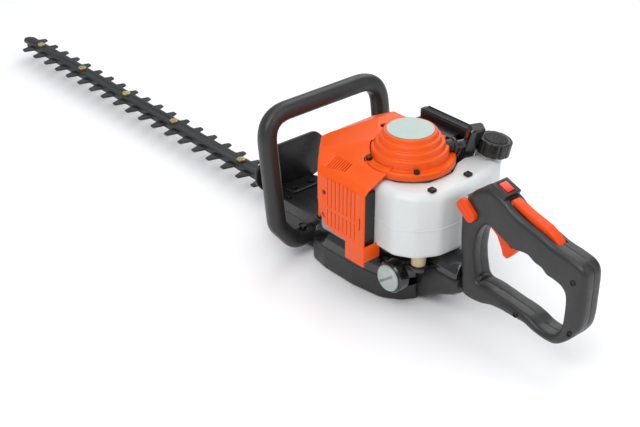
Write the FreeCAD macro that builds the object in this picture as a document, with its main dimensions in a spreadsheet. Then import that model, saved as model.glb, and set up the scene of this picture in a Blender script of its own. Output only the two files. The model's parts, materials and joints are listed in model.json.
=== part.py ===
"""Petrol hedge trimmer with two reciprocating knives, as a parametric FreeCAD model in millimetres.

Frame: +Z is up, the blade points along -X, the rear handle lies along +X and the muffler is on the
-Y side. The origin is the crank axis where it meets the ground plane, on the flat underside.
"""
import FreeCAD, Part
import math
import os
import re
import Sketcher

SIZES = {
    # blade
    "blade_level": 28, "knife_thick": 2.5, "knife_gap": 0.1, "knife_half": 10, "tooth_pitch": 35,
    "tooth_reach": 27, "tooth_root": 8.5, "tooth_tip": 3.2, "tooth_inset": 36.3, "tooth_stop": 40,
    "tooth_stagger": 15, "bar_thick": 4, "bar_half": 10, "bar_tip": -945, "bar_root_half": 24,
    "bar_root_front": -235, "bar_root_back": -100, "slot_half": 4.2, "slot_travel": 13.5,
    "collar_round": 4, "bolt_round": 3, "bolt_head": 6.5, "bolt_head_tall": 3.6, "bolt_fit": 0.1,
    "nut_round": 6.5, "nut_tall": 4, "bolt_inset": 50, "bolt_tail": 36, "last_bolt": -339,
    # knife drive
    "gear_axis": -40, "gear_module": 1.25, "gear_teeth": 52, "pinion_teeth": 12, "gear_low": 34.9,
    "gear_high": 42.5, "throw": 8.5, "cam_round": 13, "axle_round": 4, "running_fit": 0.05, "seat_fit": 0.02,
    "yoke_clear_along": 2.1, "yoke_clear_across": 0.8, "yoke_wall": 7, "cam_clear": 0.05,
    # gear case
    "case_front": -235, "case_back": 24, "case_half": 42, "nose_half": 27, "nose_back": -195,
    "case_wall": 4.5, "case_top": 50, "roof_under": 44.5, "pit_floor": 8, "pit_front": -84,
    "pit_back": 14, "pit_half": 37.5, "channel_floor": 20.5, "channel_half": 13, "skid_back": -132,
    "skid_half": 24, "bearing_round": 11, "shaft_round": 6,
    # clutch
    "drum_low": 52, "drum_high": 67, "drum_round": 27, "drum_wall": 2, "drum_floor": 2.5,
    "rotor_low": 56, "rotor_high": 65, "rotor_round": 24.4, "bell_wall": 5, "bell_inside": 31,
    "bell_top": 72, "bell_roof": 3,
    # engine
    "engine_half": 30, "engine_top": 118, "web_round": 22, "web_thick": 6, "crank_throw": 12,
    "cylinder_level": 95, "crankpin_round": 5, "crank_room": 24.5, "crank_room_half": 13.5,
    "race_round": 13, "race_thick": 7, "bore": 17, "piston_fit": 0.05, "sleeve_wall": 5,
    "sleeve_end": -92, "head_end": -100, "fin_half": 32, "fin_drop": 23, "fin_rise": 26,
    "fin_thick": 2, "fin_step": 9, "fin_first": -42, "fin_count": 7, "port_at": -55,
    "port_round": 10, "port_reach": 36, "piston_long": 26, "piston_at": -62,
    "muffler_front": -70, "muffler_back": -22, "muffler_out": -80, "muffler_low": 76,
    "muffler_high": 116, "plug_hex": 9, "plug_long": 34, "boot_round": 9,
    "wheel_low": 124, "wheel_high": 148, "wheel_round": 46, "wheel_disc": 5, "vane_count": 16,
    "fan_wall": 2.5, "fan_clear": 2.5, "fan_top": 171, "hub_round": 11, "hub_top": 170,
    # starter
    "dome_low": 171, "dome_skirt": 56, "dome_wall": 2.5, "dome_top": 213, "dome_crown": 32,
    "post_round": 4.95, "pulley_low": 176, "pulley_high": 190, "pulley_round": 24,
    "groove_round": 18, "spring_low": 191, "spring_high": 201, "label_round": 29,
    "label_thick": 1, "rope_level": 187, "grip_x": 36.2, "grip_y": 67.8, "guide_x": 24.5, "guide_y": 36.4,
    "grip_half": 31, "grip_thick": 13, "grip_lean": 28, "stem_round": 4.5, "guide_round": 10,
    # tank
    "tank_low": 82, "tank_high": 168, "neck_x": 53, "neck_y": 94, "neck_round": 14,
    "neck_tall": 7, "cap_round": 21, "cap_tall": 19, "cup_round": 9, "mount_x": 56,
    "mount_y": 34, "ear_top": 63,
    # intake
    "flange_thick": 6, "carb_half": 15, "carb_deep": 20, "carb_low": 78, "carb_high": 112,
    "airbox_wall": 4, "cover_front": -66, "cover_back": 21.4, "cover_wall": 2.5, "cover_low": 76,
    "cover_high": 183, "rib_tall": 10, "airbox_back": 4, "rib_near": 79,
    "rib_far": 94, "filter_deep": 16, "bulb_round": 8.5,
    # cowl
    "cowl_left": -90, "cowl_right": 44, "cowl_front": -142, "cowl_back": 18, "cowl_wall": 2.5,
    "cowl_top": 166, "cowl_ridge": 196, "cowl_low": 86, "cowl_lip": 62, "cowl_clear": 1.5,
    # base
    "base_front": -118, "base_half": 61, "base_floor": 3.2, "base_wall": 3, "base_split": 32,
    "cover_top": 56, "cover_roof": 3, "neck_at": 60, "neck_out": 23, "neck_end": 107,
    "door_x": 30, "door_level": 40.6, "door_round": 17,
    # rear handle
    "half_grip": 16.5, "shell_wall": 3, "swivel_gap": 0.3, "spigot_round": 12, "spigot_end": 134,
    "trigger_half": 7, "lever_half": 6.5, "trigger_pin": 2, "lockout_pin": 1.5,
    "button_proud": 5.5, "button_long": 30, "button_tall": 17, "button_fit": 0.4,
    # front handle and guard
    "loop_round": 13.5, "loop_wall": 3, "loop_half": 95.5, "loop_high": 200.5, "loop_lean": 0.142,
    "loop_at": -139.5, "loop_foot": 24, "loop_knee": 54, "loop_corner": 36, "knee_corner": 20,
    "guard_at": -222, "guard_thick": 4, "guard_half": 66, "guard_high": 116, "guard_foot": 30,
}

doc = FreeCAD.newDocument("HedgeTrimmer")
sheet = doc.addObject("Spreadsheet::Sheet", "Sizes")
for row, (alias, number) in enumerate(SIZES.items(), start=1):
    sheet.set(f"A{row}", alias)
    sheet.set(f"B{row}", str(number))
    sheet.setAlias(f"B{row}", alias)
doc.recompute()


class Reader:
    """Reads a driving size from the sheet as a plain number."""

    def __getattr__(self, alias):
        return float(getattr(sheet, alias))


size = Reader()
nodes = []

# levels that stack up from the blade
LOWER_TOP = "(blade_level - knife_gap / 2)"
LOWER_LOW = "(blade_level - knife_gap / 2 - knife_thick)"
UPPER_LOW = "(blade_level + knife_gap / 2)"
UPPER_TOP = "(blade_level + knife_gap / 2 + knife_thick)"
BAR_LOW = "(blade_level + knife_gap * 1.5 + knife_thick)"
BAR_TOP = "(blade_level + knife_gap * 1.5 + knife_thick + bar_thick)"
bar_top = size.blade_level + size.knife_gap * 1.5 + size.knife_thick + size.bar_thick


def bound(text):
    """Turns the size names in an expression into references to the sheet."""
    return re.sub(r"\b(?!floor\b)[a-z_]\w*", lambda word: "Sizes." + word.group(0), str(text))


def bind(thing, **properties):
    for name, text in properties.items():
        thing.setExpression(name.replace("__", "."), bound(text))
    return thing


def named(thing, label):
    """Gives a finished sub-part its node name and puts it on the list that is written out."""
    thing.Label = label
    nodes.append(thing)
    return thing


def place(thing, x=0, y=0, z=0):
    return bind(thing, Placement__Base__x=x, Placement__Base__y=y, Placement__Base__z=z)


def box(x, y, z):
    block = doc.addObject("Part::Box", "Block")
    bind(block, Length=f"({x[1]}) - ({x[0]})", Width=f"({y[1]}) - ({y[0]})",
         Height=f"({z[1]}) - ({z[0]})")
    return place(block, x[0], y[0], z[0])


TURNS = {
    "X": FreeCAD.Rotation(FreeCAD.Vector(0, 1, 0), 90),
    "Y": FreeCAD.Rotation(FreeCAD.Vector(1, 0, 0), -90),
    "Z": FreeCAD.Rotation(),
}


def upright(thing, axis, at, low):
    """Stands a turned primitive on its axis: at holds the two other coordinates in X, Y, Z order."""
    thing.Placement = FreeCAD.Placement(FreeCAD.Vector(), TURNS[axis])
    spots = list(at)
    spots.insert("XYZ".index(axis), low)
    return place(thing, *spots)


def rod(axis, at, radius, low, high):
    bar = doc.addObject("Part::Cylinder", "Rod")
    bind(bar, Radius=radius, Height=f"({high}) - ({low})")
    return upright(bar, axis, at, low)


def cone(axis, at, radii, low, high):
    body = doc.addObject("Part::Cone", "Cone")
    bind(body, Radius1=radii[0], Radius2=radii[1], Height=f"({high}) - ({low})")
    return upright(body, axis, at, low)


def hexagon(axis, at, radius, low, high):
    prism = doc.addObject("Part::Prism", "Hexagon")
    prism.Polygon = 6
    bind(prism, Circumradius=radius, Height=f"({high}) - ({low})")
    return upright(prism, axis, at, low)


def fuse(*pieces):
    if len(pieces) == 1:
        return pieces[0]
    union = doc.addObject("Part::MultiFuse", "Union")
    union.Shapes = list(pieces)
    return union


def cut(base, *tools):
    rest = doc.addObject("Part::Cut", "Rest")
    rest.Base = base
    rest.Tool = fuse(*tools)
    return rest


def common(first, second):
    shared = doc.addObject("Part::Common", "Shared")
    shared.Base = first
    shared.Tool = second
    return shared


def group(*pieces):
    """A node of several separate solids, such as a set of screws."""
    several = doc.addObject("Part::Compound", "Group")
    several.Links = list(pieces)
    return several


def ring(axis, at, outer, inner, low, high):
    return cut(rod(axis, at, outer, low, high), rod(axis, at, inner, f"({low}) - 1", f"({high}) + 1"))


def softened(base, radius, chooses):
    """Rounds the edges of a Part object that the test accepts."""
    doc.recompute()
    rounded = doc.addObject("Part::Fillet", "Rounded")
    rounded.Base = base
    rounded.Edges = [(i, radius, radius) for i, edge in enumerate(base.Shape.Edges, start=1)
                     if chooses(edge)]
    return rounded


def along(axis):
    """Accepts the straight edges that run along one axis."""
    way = FreeCAD.Vector(*[1.0 if letter == axis else 0.0 for letter in "XYZ"])

    def chooses(edge):
        return edge.Curve.TypeId == "Part::GeomLine" and abs(edge.Curve.Direction.dot(way)) > 0.999
    return chooses


def corner_edges(shape, spot, normal):
    """The names of a pad's edges that run along its normal through one corner of its sketch."""
    found = []
    for i, edge in enumerate(shape.Edges, start=1):
        if edge.Curve.TypeId != "Part::GeomLine" or abs(edge.Curve.Direction.dot(normal)) < 0.999:
            continue
        offset = edge.Vertexes[0].Point - spot
        if (offset - normal * offset.dot(normal)).Length < 1e-3:
            found.append(f"Edge{i}")
    return found


def origin_plane(body, role):
    return next(item for item in body.Origin.OriginFeatures if item.Role == role)


def outline(body, plane, points):
    """A closed sketch whose corners are each held by two dimensions bound to the sheet."""
    sketch = body.newObject("Sketcher::SketchObject", "Outline")
    sketch.AttachmentSupport = [(origin_plane(body, plane + "_Plane"), "")]
    sketch.MapMode = "FlatFace"
    count = len(points)
    start = [FreeCAD.Vector(10 * math.cos(2 * math.pi * i / count + 0.1),
                            10 * math.sin(2 * math.pi * i / count + 0.1), 0) for i in range(count)]
    for i in range(count):
        sketch.addGeometry(Part.LineSegment(start[i], start[(i + 1) % count]), False)
    for i in range(count):
        sketch.addConstraint(Sketcher.Constraint("Coincident", i, 2, (i + 1) % count, 1))
    for i, corner in enumerate(points):
        for kind, text, guess in zip(("DistanceX", "DistanceY"), corner, (start[i].x, start[i].y)):
            index = sketch.addConstraint(Sketcher.Constraint(kind, -1, 1, i, 1, guess))
            sketch.setExpression(f"Constraints[{index}]", bound(text))
    return sketch


def pad(plane, points, low, high, rounds=None):
    """A body padded from an outline between two levels, with the chosen corners rounded.

    rounds gives a radius to the corners of the outline, by their place in the list.
    """
    body = doc.addObject("PartDesign::Body", "Padded")
    sketch = outline(body, plane, points)
    lift = f"-({high})" if plane == "XZ" else f"({low})"
    sketch.setExpression("AttachmentOffset.Base.z", bound(lift))
    feature = body.newObject("PartDesign::Pad", "Pad")
    feature.Profile = sketch
    bind(feature, Length=f"({high}) - ({low})")
    if rounds:
        doc.recompute()
        normal = sketch.Placement.Rotation.multVec(FreeCAD.Vector(0, 0, 1))
        spots = [sketch.Placement.multVec(line.StartPoint) for line in sketch.Geometry]
        for radius, corners in rounds.items():
            doc.recompute()
            tip = body.Tip
            edges = [edge for i in corners for edge in corner_edges(tip.Shape, spots[i], normal)]
            fillet = body.newObject("PartDesign::Fillet", "Fillet")
            fillet.Base = (tip, edges)
            fillet.Radius = radius
            body.Tip = fillet
    return body


def turned(points, x=0, y=0):
    """A body turned about an upright axis from an outline of radii and levels."""
    body = doc.addObject("PartDesign::Body", "Turned")
    sketch = outline(body, "XZ", points)
    feature = body.newObject("PartDesign::Revolution", "Revolution")
    feature.Profile = sketch
    feature.ReferenceAxis = (sketch, ["V_Axis"])
    feature.Angle = 360
    return place(body, x, y, 0)


def mirrored(points):
    """Closes a half outline, given on the +second-axis side, with its mirror image."""
    return points + [(first, f"-({second})") for first, second in reversed(points)]


# ---------------------------------------------------------------- blade

FIRST_TOOTH = "(bar_tip + tooth_inset)"
TOOTH_COUNT = f"(floor((bar_root_front - tooth_stop - {FIRST_TOOTH}) / tooth_pitch) + 1)"
FIRST_BOLT = "(bar_tip + bolt_inset)"
bolt_spots = [f"{FIRST_BOLT} + (last_bolt - bolt_tail - {FIRST_BOLT}) / 4 * {i}" for i in range(4)] + ["last_bolt"]


def knife(low, high):
    """A knife: strip, a tooth on each side repeated along it, the yoke at its heel and bolt slots."""
    body = doc.addObject("PartDesign::Body", "Knife")
    yoke_long = "(throw + cam_round + yoke_clear_across + yoke_wall)"
    yoke_wide = "(cam_round + yoke_clear_along + yoke_wall)"
    strip = [(f"{FIRST_TOOTH} - 22", "-knife_half + 3"), (f"{FIRST_TOOTH} - 17", "-knife_half"),
             (f"gear_axis - {yoke_wide}", "-knife_half"), (f"gear_axis - {yoke_wide}", f"-{yoke_long}"),
             (f"gear_axis + {yoke_wide}", f"-{yoke_long}")]
    points = strip + [(x, f"-({y})") for x, y in reversed(strip)]
    sketch = outline(body, "XY", points)
    sketch.setExpression("AttachmentOffset.Base.z", bound(low))
    blank = body.newObject("PartDesign::Pad", "Blank")
    blank.Profile = sketch
    bind(blank, Length="knife_thick")
    for side, shift in ((-1, "0"), (1, "-tooth_stagger")):
        tip = f"{side} * tooth_reach"
        root = f"{side} * (knife_half - 1)"
        spot = f"{FIRST_TOOTH} + {shift}"
        tooth = outline(body, "XY", [(f"{spot} - tooth_root", root), (f"{spot} + tooth_root", root),
                                     (f"{spot} + tooth_tip", tip), (f"{spot} - tooth_tip", tip)])
        tooth.setExpression("AttachmentOffset.Base.z", bound(low))
        raised = body.newObject("PartDesign::Pad", "Tooth")
        raised.Profile = tooth
        bind(raised, Length="knife_thick")
        row = body.newObject("PartDesign::LinearPattern", "TeethRow")
        row.Originals = [raised]
        row.Direction = (tooth, ["H_Axis"])
        bind(row, Length=f"tooth_pitch * ({TOOTH_COUNT} - 1)", Occurrences=TOOTH_COUNT)
        body.Tip = row
    slots = []
    for spot in bolt_spots:
        ends = (f"{spot} - slot_travel + slot_half", f"{spot} + slot_travel - slot_half")
        slots.append(box(ends, ("-slot_half", "slot_half"), (f"{low} - 1", f"{high} + 1")))
        slots.extend(rod("Z", (end, 0), "slot_half", f"{low} - 1", f"{high} + 1") for end in ends)
    window = box(("gear_axis - cam_round - yoke_clear_along", "gear_axis + cam_round + yoke_clear_along"),
                 ("-throw - cam_round - yoke_clear_across", "throw + cam_round + yoke_clear_across"),
                 (f"{low} - 1", f"{high} + 1"))
    return cut(body, window, *slots)


named(knife(LOWER_LOW, LOWER_TOP), "lower_knife")
named(knife(UPPER_LOW, UPPER_TOP), "upper_knife")


def guide_bar():
    """The bar that the knives hang under, widened where the gear case holds it."""
    side = [("bar_tip", "bar_half - 6"), ("bar_tip + 8", "bar_half"), ("bar_root_front - 16", "bar_half"),
            ("bar_root_front", "bar_root_half"), ("bar_root_back", "bar_root_half")]
    bar = pad("XY", mirrored(side), BAR_LOW, BAR_TOP, {4: [0, 9]})
    holes = [rod("Z", (spot, 0), "bolt_round + bolt_fit", f"{BAR_LOW} - 1", f"{BAR_TOP} + 1")
             for spot in bolt_spots]
    return cut(bar, *holes)


def blade_bolt(spot):
    """A bolt: head under the knives, collar through their slots and shank through the bar."""
    head_top = f"({LOWER_LOW} - cam_clear * 3)"
    return fuse(rod("Z", (spot, 0), "bolt_head", f"{head_top} - bolt_head_tall", head_top),
                rod("Z", (spot, 0), "collar_round", head_top, BAR_LOW),
                rod("Z", (spot, 0), "bolt_round", BAR_LOW, f"{BAR_TOP} + nut_tall + 1.5"))


def blade_nut(spot):
    nut = hexagon("Z", (spot, 0), "nut_round", BAR_TOP, f"{BAR_TOP} + nut_tall")
    return cut(nut, rod("Z", (spot, 0), "bolt_round + bolt_fit", BAR_LOW, f"{BAR_TOP} + nut_tall + 1"))


named(guide_bar(), "guide_bar")
named(group(*[blade_bolt(spot) for spot in bolt_spots]), "blade_bolts")
named(group(*[blade_nut(spot) for spot in bolt_spots]), "blade_nuts")

# ---------------------------------------------------------------- gear case and knife drive


def case_outline():
    """The gear case in plan: a broad body that narrows to the nose over the bar."""
    side = [("case_front", "nose_half"), ("nose_back", "case_half"), ("case_back", "case_half")]
    return mirrored(side)


def gear_case_lower():
    shell = pad("XY", case_outline(), "base_floor", BAR_TOP, {8: [1, 4], 12: [2, 3]})
    skid = box(("case_front + 3", "skid_back"), ("-skid_half", "skid_half"), ("0", "base_floor + 1"))
    pit = box(("pit_front", "pit_back"), ("-pit_half", "pit_half"), ("pit_floor", f"{BAR_TOP} + 1"))
    channel = box(("case_front - 1", "pit_front + 1"), ("-channel_half", "channel_half"),
                  ("channel_floor", f"{BAR_TOP} + 1"))
    seat = box(("case_front - 1", "pit_front + 1"), ("-bar_root_half - 0.1", "bar_root_half + 0.1"),
               (BAR_LOW, f"{BAR_TOP} + 1"))
    boss = rod("Z", ("gear_axis", 0), "axle_round + 5", "pit_floor - 1", f"{LOWER_LOW} - 0.6")
    bore = rod("Z", ("gear_axis", 0), "axle_round", "pit_floor - 1", f"{BAR_TOP}")
    ribs = [box(("nose_back + 3", "pit_front - 6"), (f"{low}", f"{high}"), (-1, "channel_floor + 5"))
            for low, high in (("channel_half + 4", "case_half - 4"), ("4 - case_half", "-channel_half - 4"))]
    return cut(fuse(cut(fuse(shell, skid), pit, channel, seat, *ribs), boss), bore)


def gear_case_upper():
    lid = pad("XY", case_outline(), BAR_TOP, "case_top", {8: [1, 4], 12: [2, 3]})
    pit = box(("pit_front", "pit_back"), ("-pit_half", "pit_half"), (f"{BAR_TOP} - 1", "roof_under"))
    race = rod("Z", (0, 0), "bearing_round + seat_fit", "roof_under - 1", "case_top + 1")
    bore = rod("Z", ("gear_axis", 0), "axle_round", "roof_under - 1", "case_top - 2")
    ribs = [box(("nose_back + 3", "pit_front - 6"), (f"{low}", f"{high}"), (f"{BAR_TOP} - 1", "roof_under"))
            for low, high in (("bar_root_half + 3", "case_half - 4"), ("4 - case_half", "-bar_root_half - 3"))]
    return cut(lid, pit, race, bore, *ribs)


def toothed(teeth, module, low, high, phase):
    """A spur gear blank whose flanks are straight between its root and tip circles."""
    count = int(teeth)
    pitch = module * count / 2
    tip, root = pitch + module * 0.9, pitch - module * 1.2
    step = 2 * math.pi / count
    shares = ((root, -0.34), (tip, -0.13), (tip, 0.13), (root, 0.34))
    corners = [FreeCAD.Vector(radius * math.cos(step * (i + share) + phase),
                              radius * math.sin(step * (i + share) + phase), low)
               for i in range(count) for radius, share in shares]
    face = Part.Face(Part.makePolygon(corners + corners[:1]))
    return face.extrude(FreeCAD.Vector(0, 0, high - low))


def gear_bore():
    return Part.makeCylinder(size.axle_round + size.running_fit, size.case_top)


def drive_gear():
    """The large gear that the clutch pinion turns, bored for its axle."""
    blank = toothed(size.gear_teeth, size.gear_module, size.gear_low, size.gear_high, 0.0)
    gear = doc.addObject("Part::Feature", "DriveGear")
    gear.Shape = blank.cut(gear_bore())
    return place(gear, "gear_axis", 0, 0)


def drive_cams():
    """The two opposed cams under the gear that push the knives through their yokes."""
    split = size.blade_level
    low = split - size.knife_gap / 2 - size.knife_thick + size.cam_clear
    upper = Part.makeCylinder(size.cam_round, size.gear_low - split, FreeCAD.Vector(0, size.throw, split))
    lower = Part.makeCylinder(size.cam_round, split - low, FreeCAD.Vector(0, -size.throw, low))
    cams = doc.addObject("Part::Feature", "DriveCams")
    cams.Shape = upper.fuse(lower).cut(gear_bore()).removeSplitter()
    return place(cams, "gear_axis", 0, 0)


def clutch_drum():
    """The clutch cup with the pinion on its shaft, meshing with the drive gear."""
    half_step = math.pi / size.pinion_teeth
    pinion = toothed(size.pinion_teeth, size.gear_module, size.gear_low, size.gear_high + 0.5, half_step)
    shaft = Part.makeCylinder(size.shaft_round, size.drum_low - size.gear_high + 0.5,
                              FreeCAD.Vector(0, 0, size.gear_high - 0.5))
    cup = Part.makeCylinder(size.drum_round, size.drum_high - size.drum_low,
                            FreeCAD.Vector(0, 0, size.drum_low))
    room = Part.makeCylinder(size.drum_round - size.drum_wall, size.drum_high,
                             FreeCAD.Vector(0, 0, size.drum_low + size.drum_floor))
    drum = doc.addObject("Part::Feature", "ClutchDrum")
    drum.Shape = pinion.fuse([shaft, cup]).cut(room).removeSplitter()
    return drum


def clutch_rotor():
    """Two clutch shoes on their carrier, held to the end of the crankshaft."""
    disc = rod("Z", (0, 0), "rotor_round", "rotor_low", "rotor_high")
    gap = box(("-rotor_round", "rotor_round"), (-1.5, 1.5), ("rotor_low - 1", "rotor_high + 1"))
    carrier = rod("Z", (0, 0), 11, "rotor_low", "rotor_high")
    bore = rod("Z", (0, 0), "shaft_round", "rotor_low - 1", "rotor_high + 1")
    return cut(fuse(cut(disc, gap), carrier), bore)


def clutch_bell():
    """The cast bell over the clutch: it carries the engine on the gear case."""
    outside = "bell_inside + bell_wall"
    return turned([("bell_inside", "case_top"), (outside, "case_top"), (outside, "bell_top"),
                   ("shaft_round + 3", "bell_top"), ("shaft_round + 3", "bell_top - bell_roof"),
                   ("bell_inside", "bell_top - bell_roof")])


named(gear_case_lower(), "gear_case_lower")
named(gear_case_upper(), "gear_case_upper")
named(drive_gear(), "drive_gear")
named(drive_cams(), "drive_cams")
named(rod("Z", ("gear_axis", 0), "axle_round", "pit_floor - 1", "case_top - 2"), "gear_axle")
named(clutch_drum(), "clutch_drum")
named(clutch_rotor(), "clutch_rotor")
named(clutch_bell(), "clutch_housing")

# ---------------------------------------------------------------- engine

ROOM_LOW = "(cylinder_level - crank_room_half)"
ROOM_HIGH = "(cylinder_level + crank_room_half)"


def crankcase():
    block = box(("-engine_half", "engine_half"), ("-engine_half", "engine_half"), ("bell_top", "engine_top"))
    block = softened(block, 8, along("Z"))
    return cut(block, rod("Z", (0, 0), "crank_room", ROOM_LOW, ROOM_HIGH),
               rod("Z", (0, 0), "race_round + seat_fit", "bell_top - 1", "bell_top + race_thick"),
               rod("Z", (0, 0), "race_round + seat_fit", "engine_top - race_thick", "engine_top + 1"),
               rod("Z", (0, 0), "shaft_round + 1", "bell_top", "engine_top"),
               rod("X", (0, "cylinder_level"), "bore + piston_fit", "-engine_half - 1", 0))


def crankshaft():
    """Shaft ends, two webs and the crankpin between them."""
    pin_low = "(cylinder_level - web_thick)"
    pin_high = "(cylinder_level + web_thick)"
    return fuse(rod("Z", (0, 0), "shaft_round", "rotor_low", f"{pin_low} - web_thick / 2"),
                rod("Z", (0, 0), "web_round", f"{pin_low} - web_thick", pin_low),
                rod("Z", (0, "crank_throw"), "crankpin_round", pin_low, pin_high),
                rod("Z", (0, 0), "web_round", pin_high, f"{pin_high} + web_thick"),
                rod("Z", (0, 0), "shaft_round", f"{pin_high} + web_thick / 2", "hub_top"))


def cylinder():
    """The finned barrel along -X with its ports to the muffler and the carburettor."""
    outer = "bore + sleeve_wall"
    level = (0, "cylinder_level")
    fins = [box((f"fin_first - fin_step * {i}", f"fin_first - fin_step * {i} + fin_thick"),
                ("-fin_half", "fin_half"), ("cylinder_level - fin_drop", "cylinder_level + fin_rise"))
            for i in range(int(size.fin_count))]
    barrel = fuse(rod("X", level, outer, "head_end", "-engine_half"),
                  rod("Y", ("port_at", "cylinder_level"), "port_round", "-port_reach", "port_reach"),
                  *fins)
    return cut(barrel, rod("X", level, "bore + piston_fit", "sleeve_end", "-engine_half + 1"),
               rod("Y", ("port_at", "cylinder_level"), "port_round - 4", "-port_reach - 1", "port_reach + 1"))


def piston():
    middle = "piston_at"
    crown = rod("X", (0, "cylinder_level"), "bore", f"{middle} - piston_long / 2",
                f"{middle} + piston_long / 2")
    return cut(crown, rod("X", (0, "cylinder_level"), "bore - 3", f"{middle} - piston_long / 2 + 4",
                          f"{middle} + piston_long"),
               rod("Y", (f"{middle} + 3", "cylinder_level"), 3.5, "-bore", "bore"))


def muffler():
    """A pressed steel box bolted to the exhaust port."""
    tin = softened(box(("muffler_front", "muffler_back"), ("muffler_out", "-port_reach"),
                       ("muffler_low", "muffler_high")), 6, along("Y"))
    room = box(("muffler_front + 2", "muffler_back - 2"), ("muffler_out + 2", "-port_reach - 2"),
               ("muffler_low + 2", "muffler_high - 2"))
    inlet = rod("Y", ("port_at", "cylinder_level"), "port_round - 4", "-port_reach - 4", "-port_reach + 1")
    outlet = rod("Y", ("muffler_back - 12", "muffler_low + 12"), 4, "muffler_out - 1", "muffler_out + 4")
    return cut(tin, room, inlet, outlet)


def spark_plug():
    level = (0, "cylinder_level")
    return fuse(hexagon("X", level, "plug_hex", "head_end - 9", "head_end"),
                rod("X", level, "plug_hex - 3.5", "head_end - 27", "head_end - 8"),
                rod("X", level, 3, "head_end - plug_long", "head_end - 26"))


def plug_boot():
    level = (0, "cylinder_level")
    boot = rod("X", level, "boot_round", "head_end - plug_long - 5", "head_end - 12")
    return cut(boot, rod("X", level, "plug_hex - 3.4", "head_end - plug_long - 0.1", "head_end - 11"))


def ignition_coil():
    """The coil beside the flywheel rim, seated on the tops of the fins."""
    near = "(-wheel_round - 1.3)"
    top = "(cylinder_level + fin_rise)"
    core = box((f"{near} - 6", near), (-15, 15), (top, f"{top} + 20"))
    winding = box((f"{near} - 16", f"{near} - 5"), (-11, 11), (top, f"{top} + 17"))
    return fuse(core, winding)


def flywheel():
    """The fan wheel: disc, hub and straight vanes."""
    disc_top = "wheel_low + wheel_disc"
    vanes = []
    for i in range(int(size.vane_count)):
        vane = doc.addObject("Part::Box", "Vane")
        bind(vane, Length="wheel_round - 27", Width=2.5, Height="wheel_high - wheel_low - wheel_disc + 1")
        turn = FreeCAD.Rotation(FreeCAD.Vector(0, 0, 1), 360.0 * i / size.vane_count)
        vane.Placement = FreeCAD.Placement(turn.multVec(FreeCAD.Vector(25, -1.25, 0)), turn)
        vane.setExpression("Placement.Base.z", bound("wheel_low + wheel_disc - 1"))
        vanes.append(vane)
    wheel = fuse(rod("Z", (0, 0), "wheel_round", "wheel_low", disc_top),
                 rod("Z", (0, 0), "hub_round", "wheel_low", "hub_top - 4"), *vanes)
    return cut(wheel, rod("Z", (0, 0), "shaft_round", "wheel_low - 1", "hub_top + 1"))


def fan_housing():
    """The wall around the flywheel, seated on the crankcase and carrying the starter."""
    inside = "wheel_round + fan_clear"
    outside = "wheel_round + fan_clear + fan_wall"
    shell = turned([("shaft_round + 4", "engine_top"), (outside, "engine_top"), (outside, "fan_top"),
                    (inside, "fan_top"), (inside, "engine_top + 3"), ("shaft_round + 4", "engine_top + 3")])
    coil_way = box(("-wheel_round - 12", "-wheel_round + 4"), (-17, 17), ("engine_top - 1", "wheel_high - 3"))
    return cut(shell, coil_way, box(("-wheel_round - 12", "-engine_half - 1"), (-33, 33),
                                    ("engine_top - 1", "engine_top + 3.5")))


named(crankcase(), "crankcase")
named(group(ring("Z", (0, 0), "bearing_round", "shaft_round + running_fit", "roof_under", "case_top"),
            ring("Z", (0, 0), "race_round", "shaft_round + running_fit", "bell_top", "bell_top + race_thick"),
            ring("Z", (0, 0), "race_round", "shaft_round + running_fit", "engine_top - race_thick",
                 "engine_top")), "shaft_bearings")
named(crankshaft(), "crankshaft")
named(cylinder(), "cylinder")
named(piston(), "piston")
named(muffler(), "muffler")
named(spark_plug(), "spark_plug")
named(plug_boot(), "plug_boot")
named(ignition_coil(), "ignition_coil")
named(flywheel(), "flywheel")
named(fan_housing(), "fan_housing")

# ---------------------------------------------------------------- starter


def starter_housing():
    """The stepped dome with the post that the rope pulley turns on."""
    wall = "dome_wall"
    outer = [("dome_skirt", "dome_low"), ("dome_skirt", "dome_low + 9"), ("dome_skirt - 8", "dome_low + 9"),
             ("dome_skirt - 9", "dome_low + 22"), ("dome_skirt - 13", "dome_low + 25"),
             ("dome_crown + 4", "dome_top - 10"), ("dome_crown", "dome_top")]
    points = outer + [("0", "dome_top"), ("0", "pulley_low - 2"), ("post_round", "pulley_low - 2"),
                      ("post_round", f"dome_top - {wall} * 2"), (f"dome_crown - {wall}", f"dome_top - {wall} * 2"),
                      (f"dome_crown + 4 - {wall}", f"dome_top - 10 - {wall}"),
                      (f"dome_skirt - 13 - {wall}", f"dome_low + 25 - {wall}"),
                      (f"dome_skirt - 9 - {wall}", f"dome_low + 22 - {wall}"),
                      ("wheel_round + fan_clear - 3", "dome_low")]
    return cut(turned(points), rope_way("guide_round - 1.9", -12, 20),
               rope_way("guide_round + 0.3", 7.6, 20))


def rope_way(radius, low, high):
    """A rod along the line on which the rope leaves the housing, measured from its guide."""
    way = doc.addObject("Part::Cylinder", "RopeWay")
    bind(way, Radius=radius, Height=f"({high}) - ({low})")
    heading = FreeCAD.Vector(size.grip_x - size.guide_x, size.grip_y - size.guide_y, 0).normalize()
    way.Placement = FreeCAD.Placement(FreeCAD.Vector(), FreeCAD.Rotation(FreeCAD.Vector(0, 0, 1), heading))
    bind(way, Placement__Base__x=f"guide_x + ({low}) * {heading.x:.6f}",
         Placement__Base__y=f"guide_y + ({low}) * {heading.y:.6f}", Placement__Base__z="rope_level")
    return way


def starter_pulley():
    bore = "post_round + running_fit"
    return turned([(bore, "pulley_low"), ("pulley_round", "pulley_low"), ("pulley_round", "pulley_low + 2.5"),
                   ("groove_round", "pulley_low + 2.5"), ("groove_round", "pulley_high - 2.5"),
                   ("pulley_round", "pulley_high - 2.5"), ("pulley_round", "pulley_high"), (bore, "pulley_high")])


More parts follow.
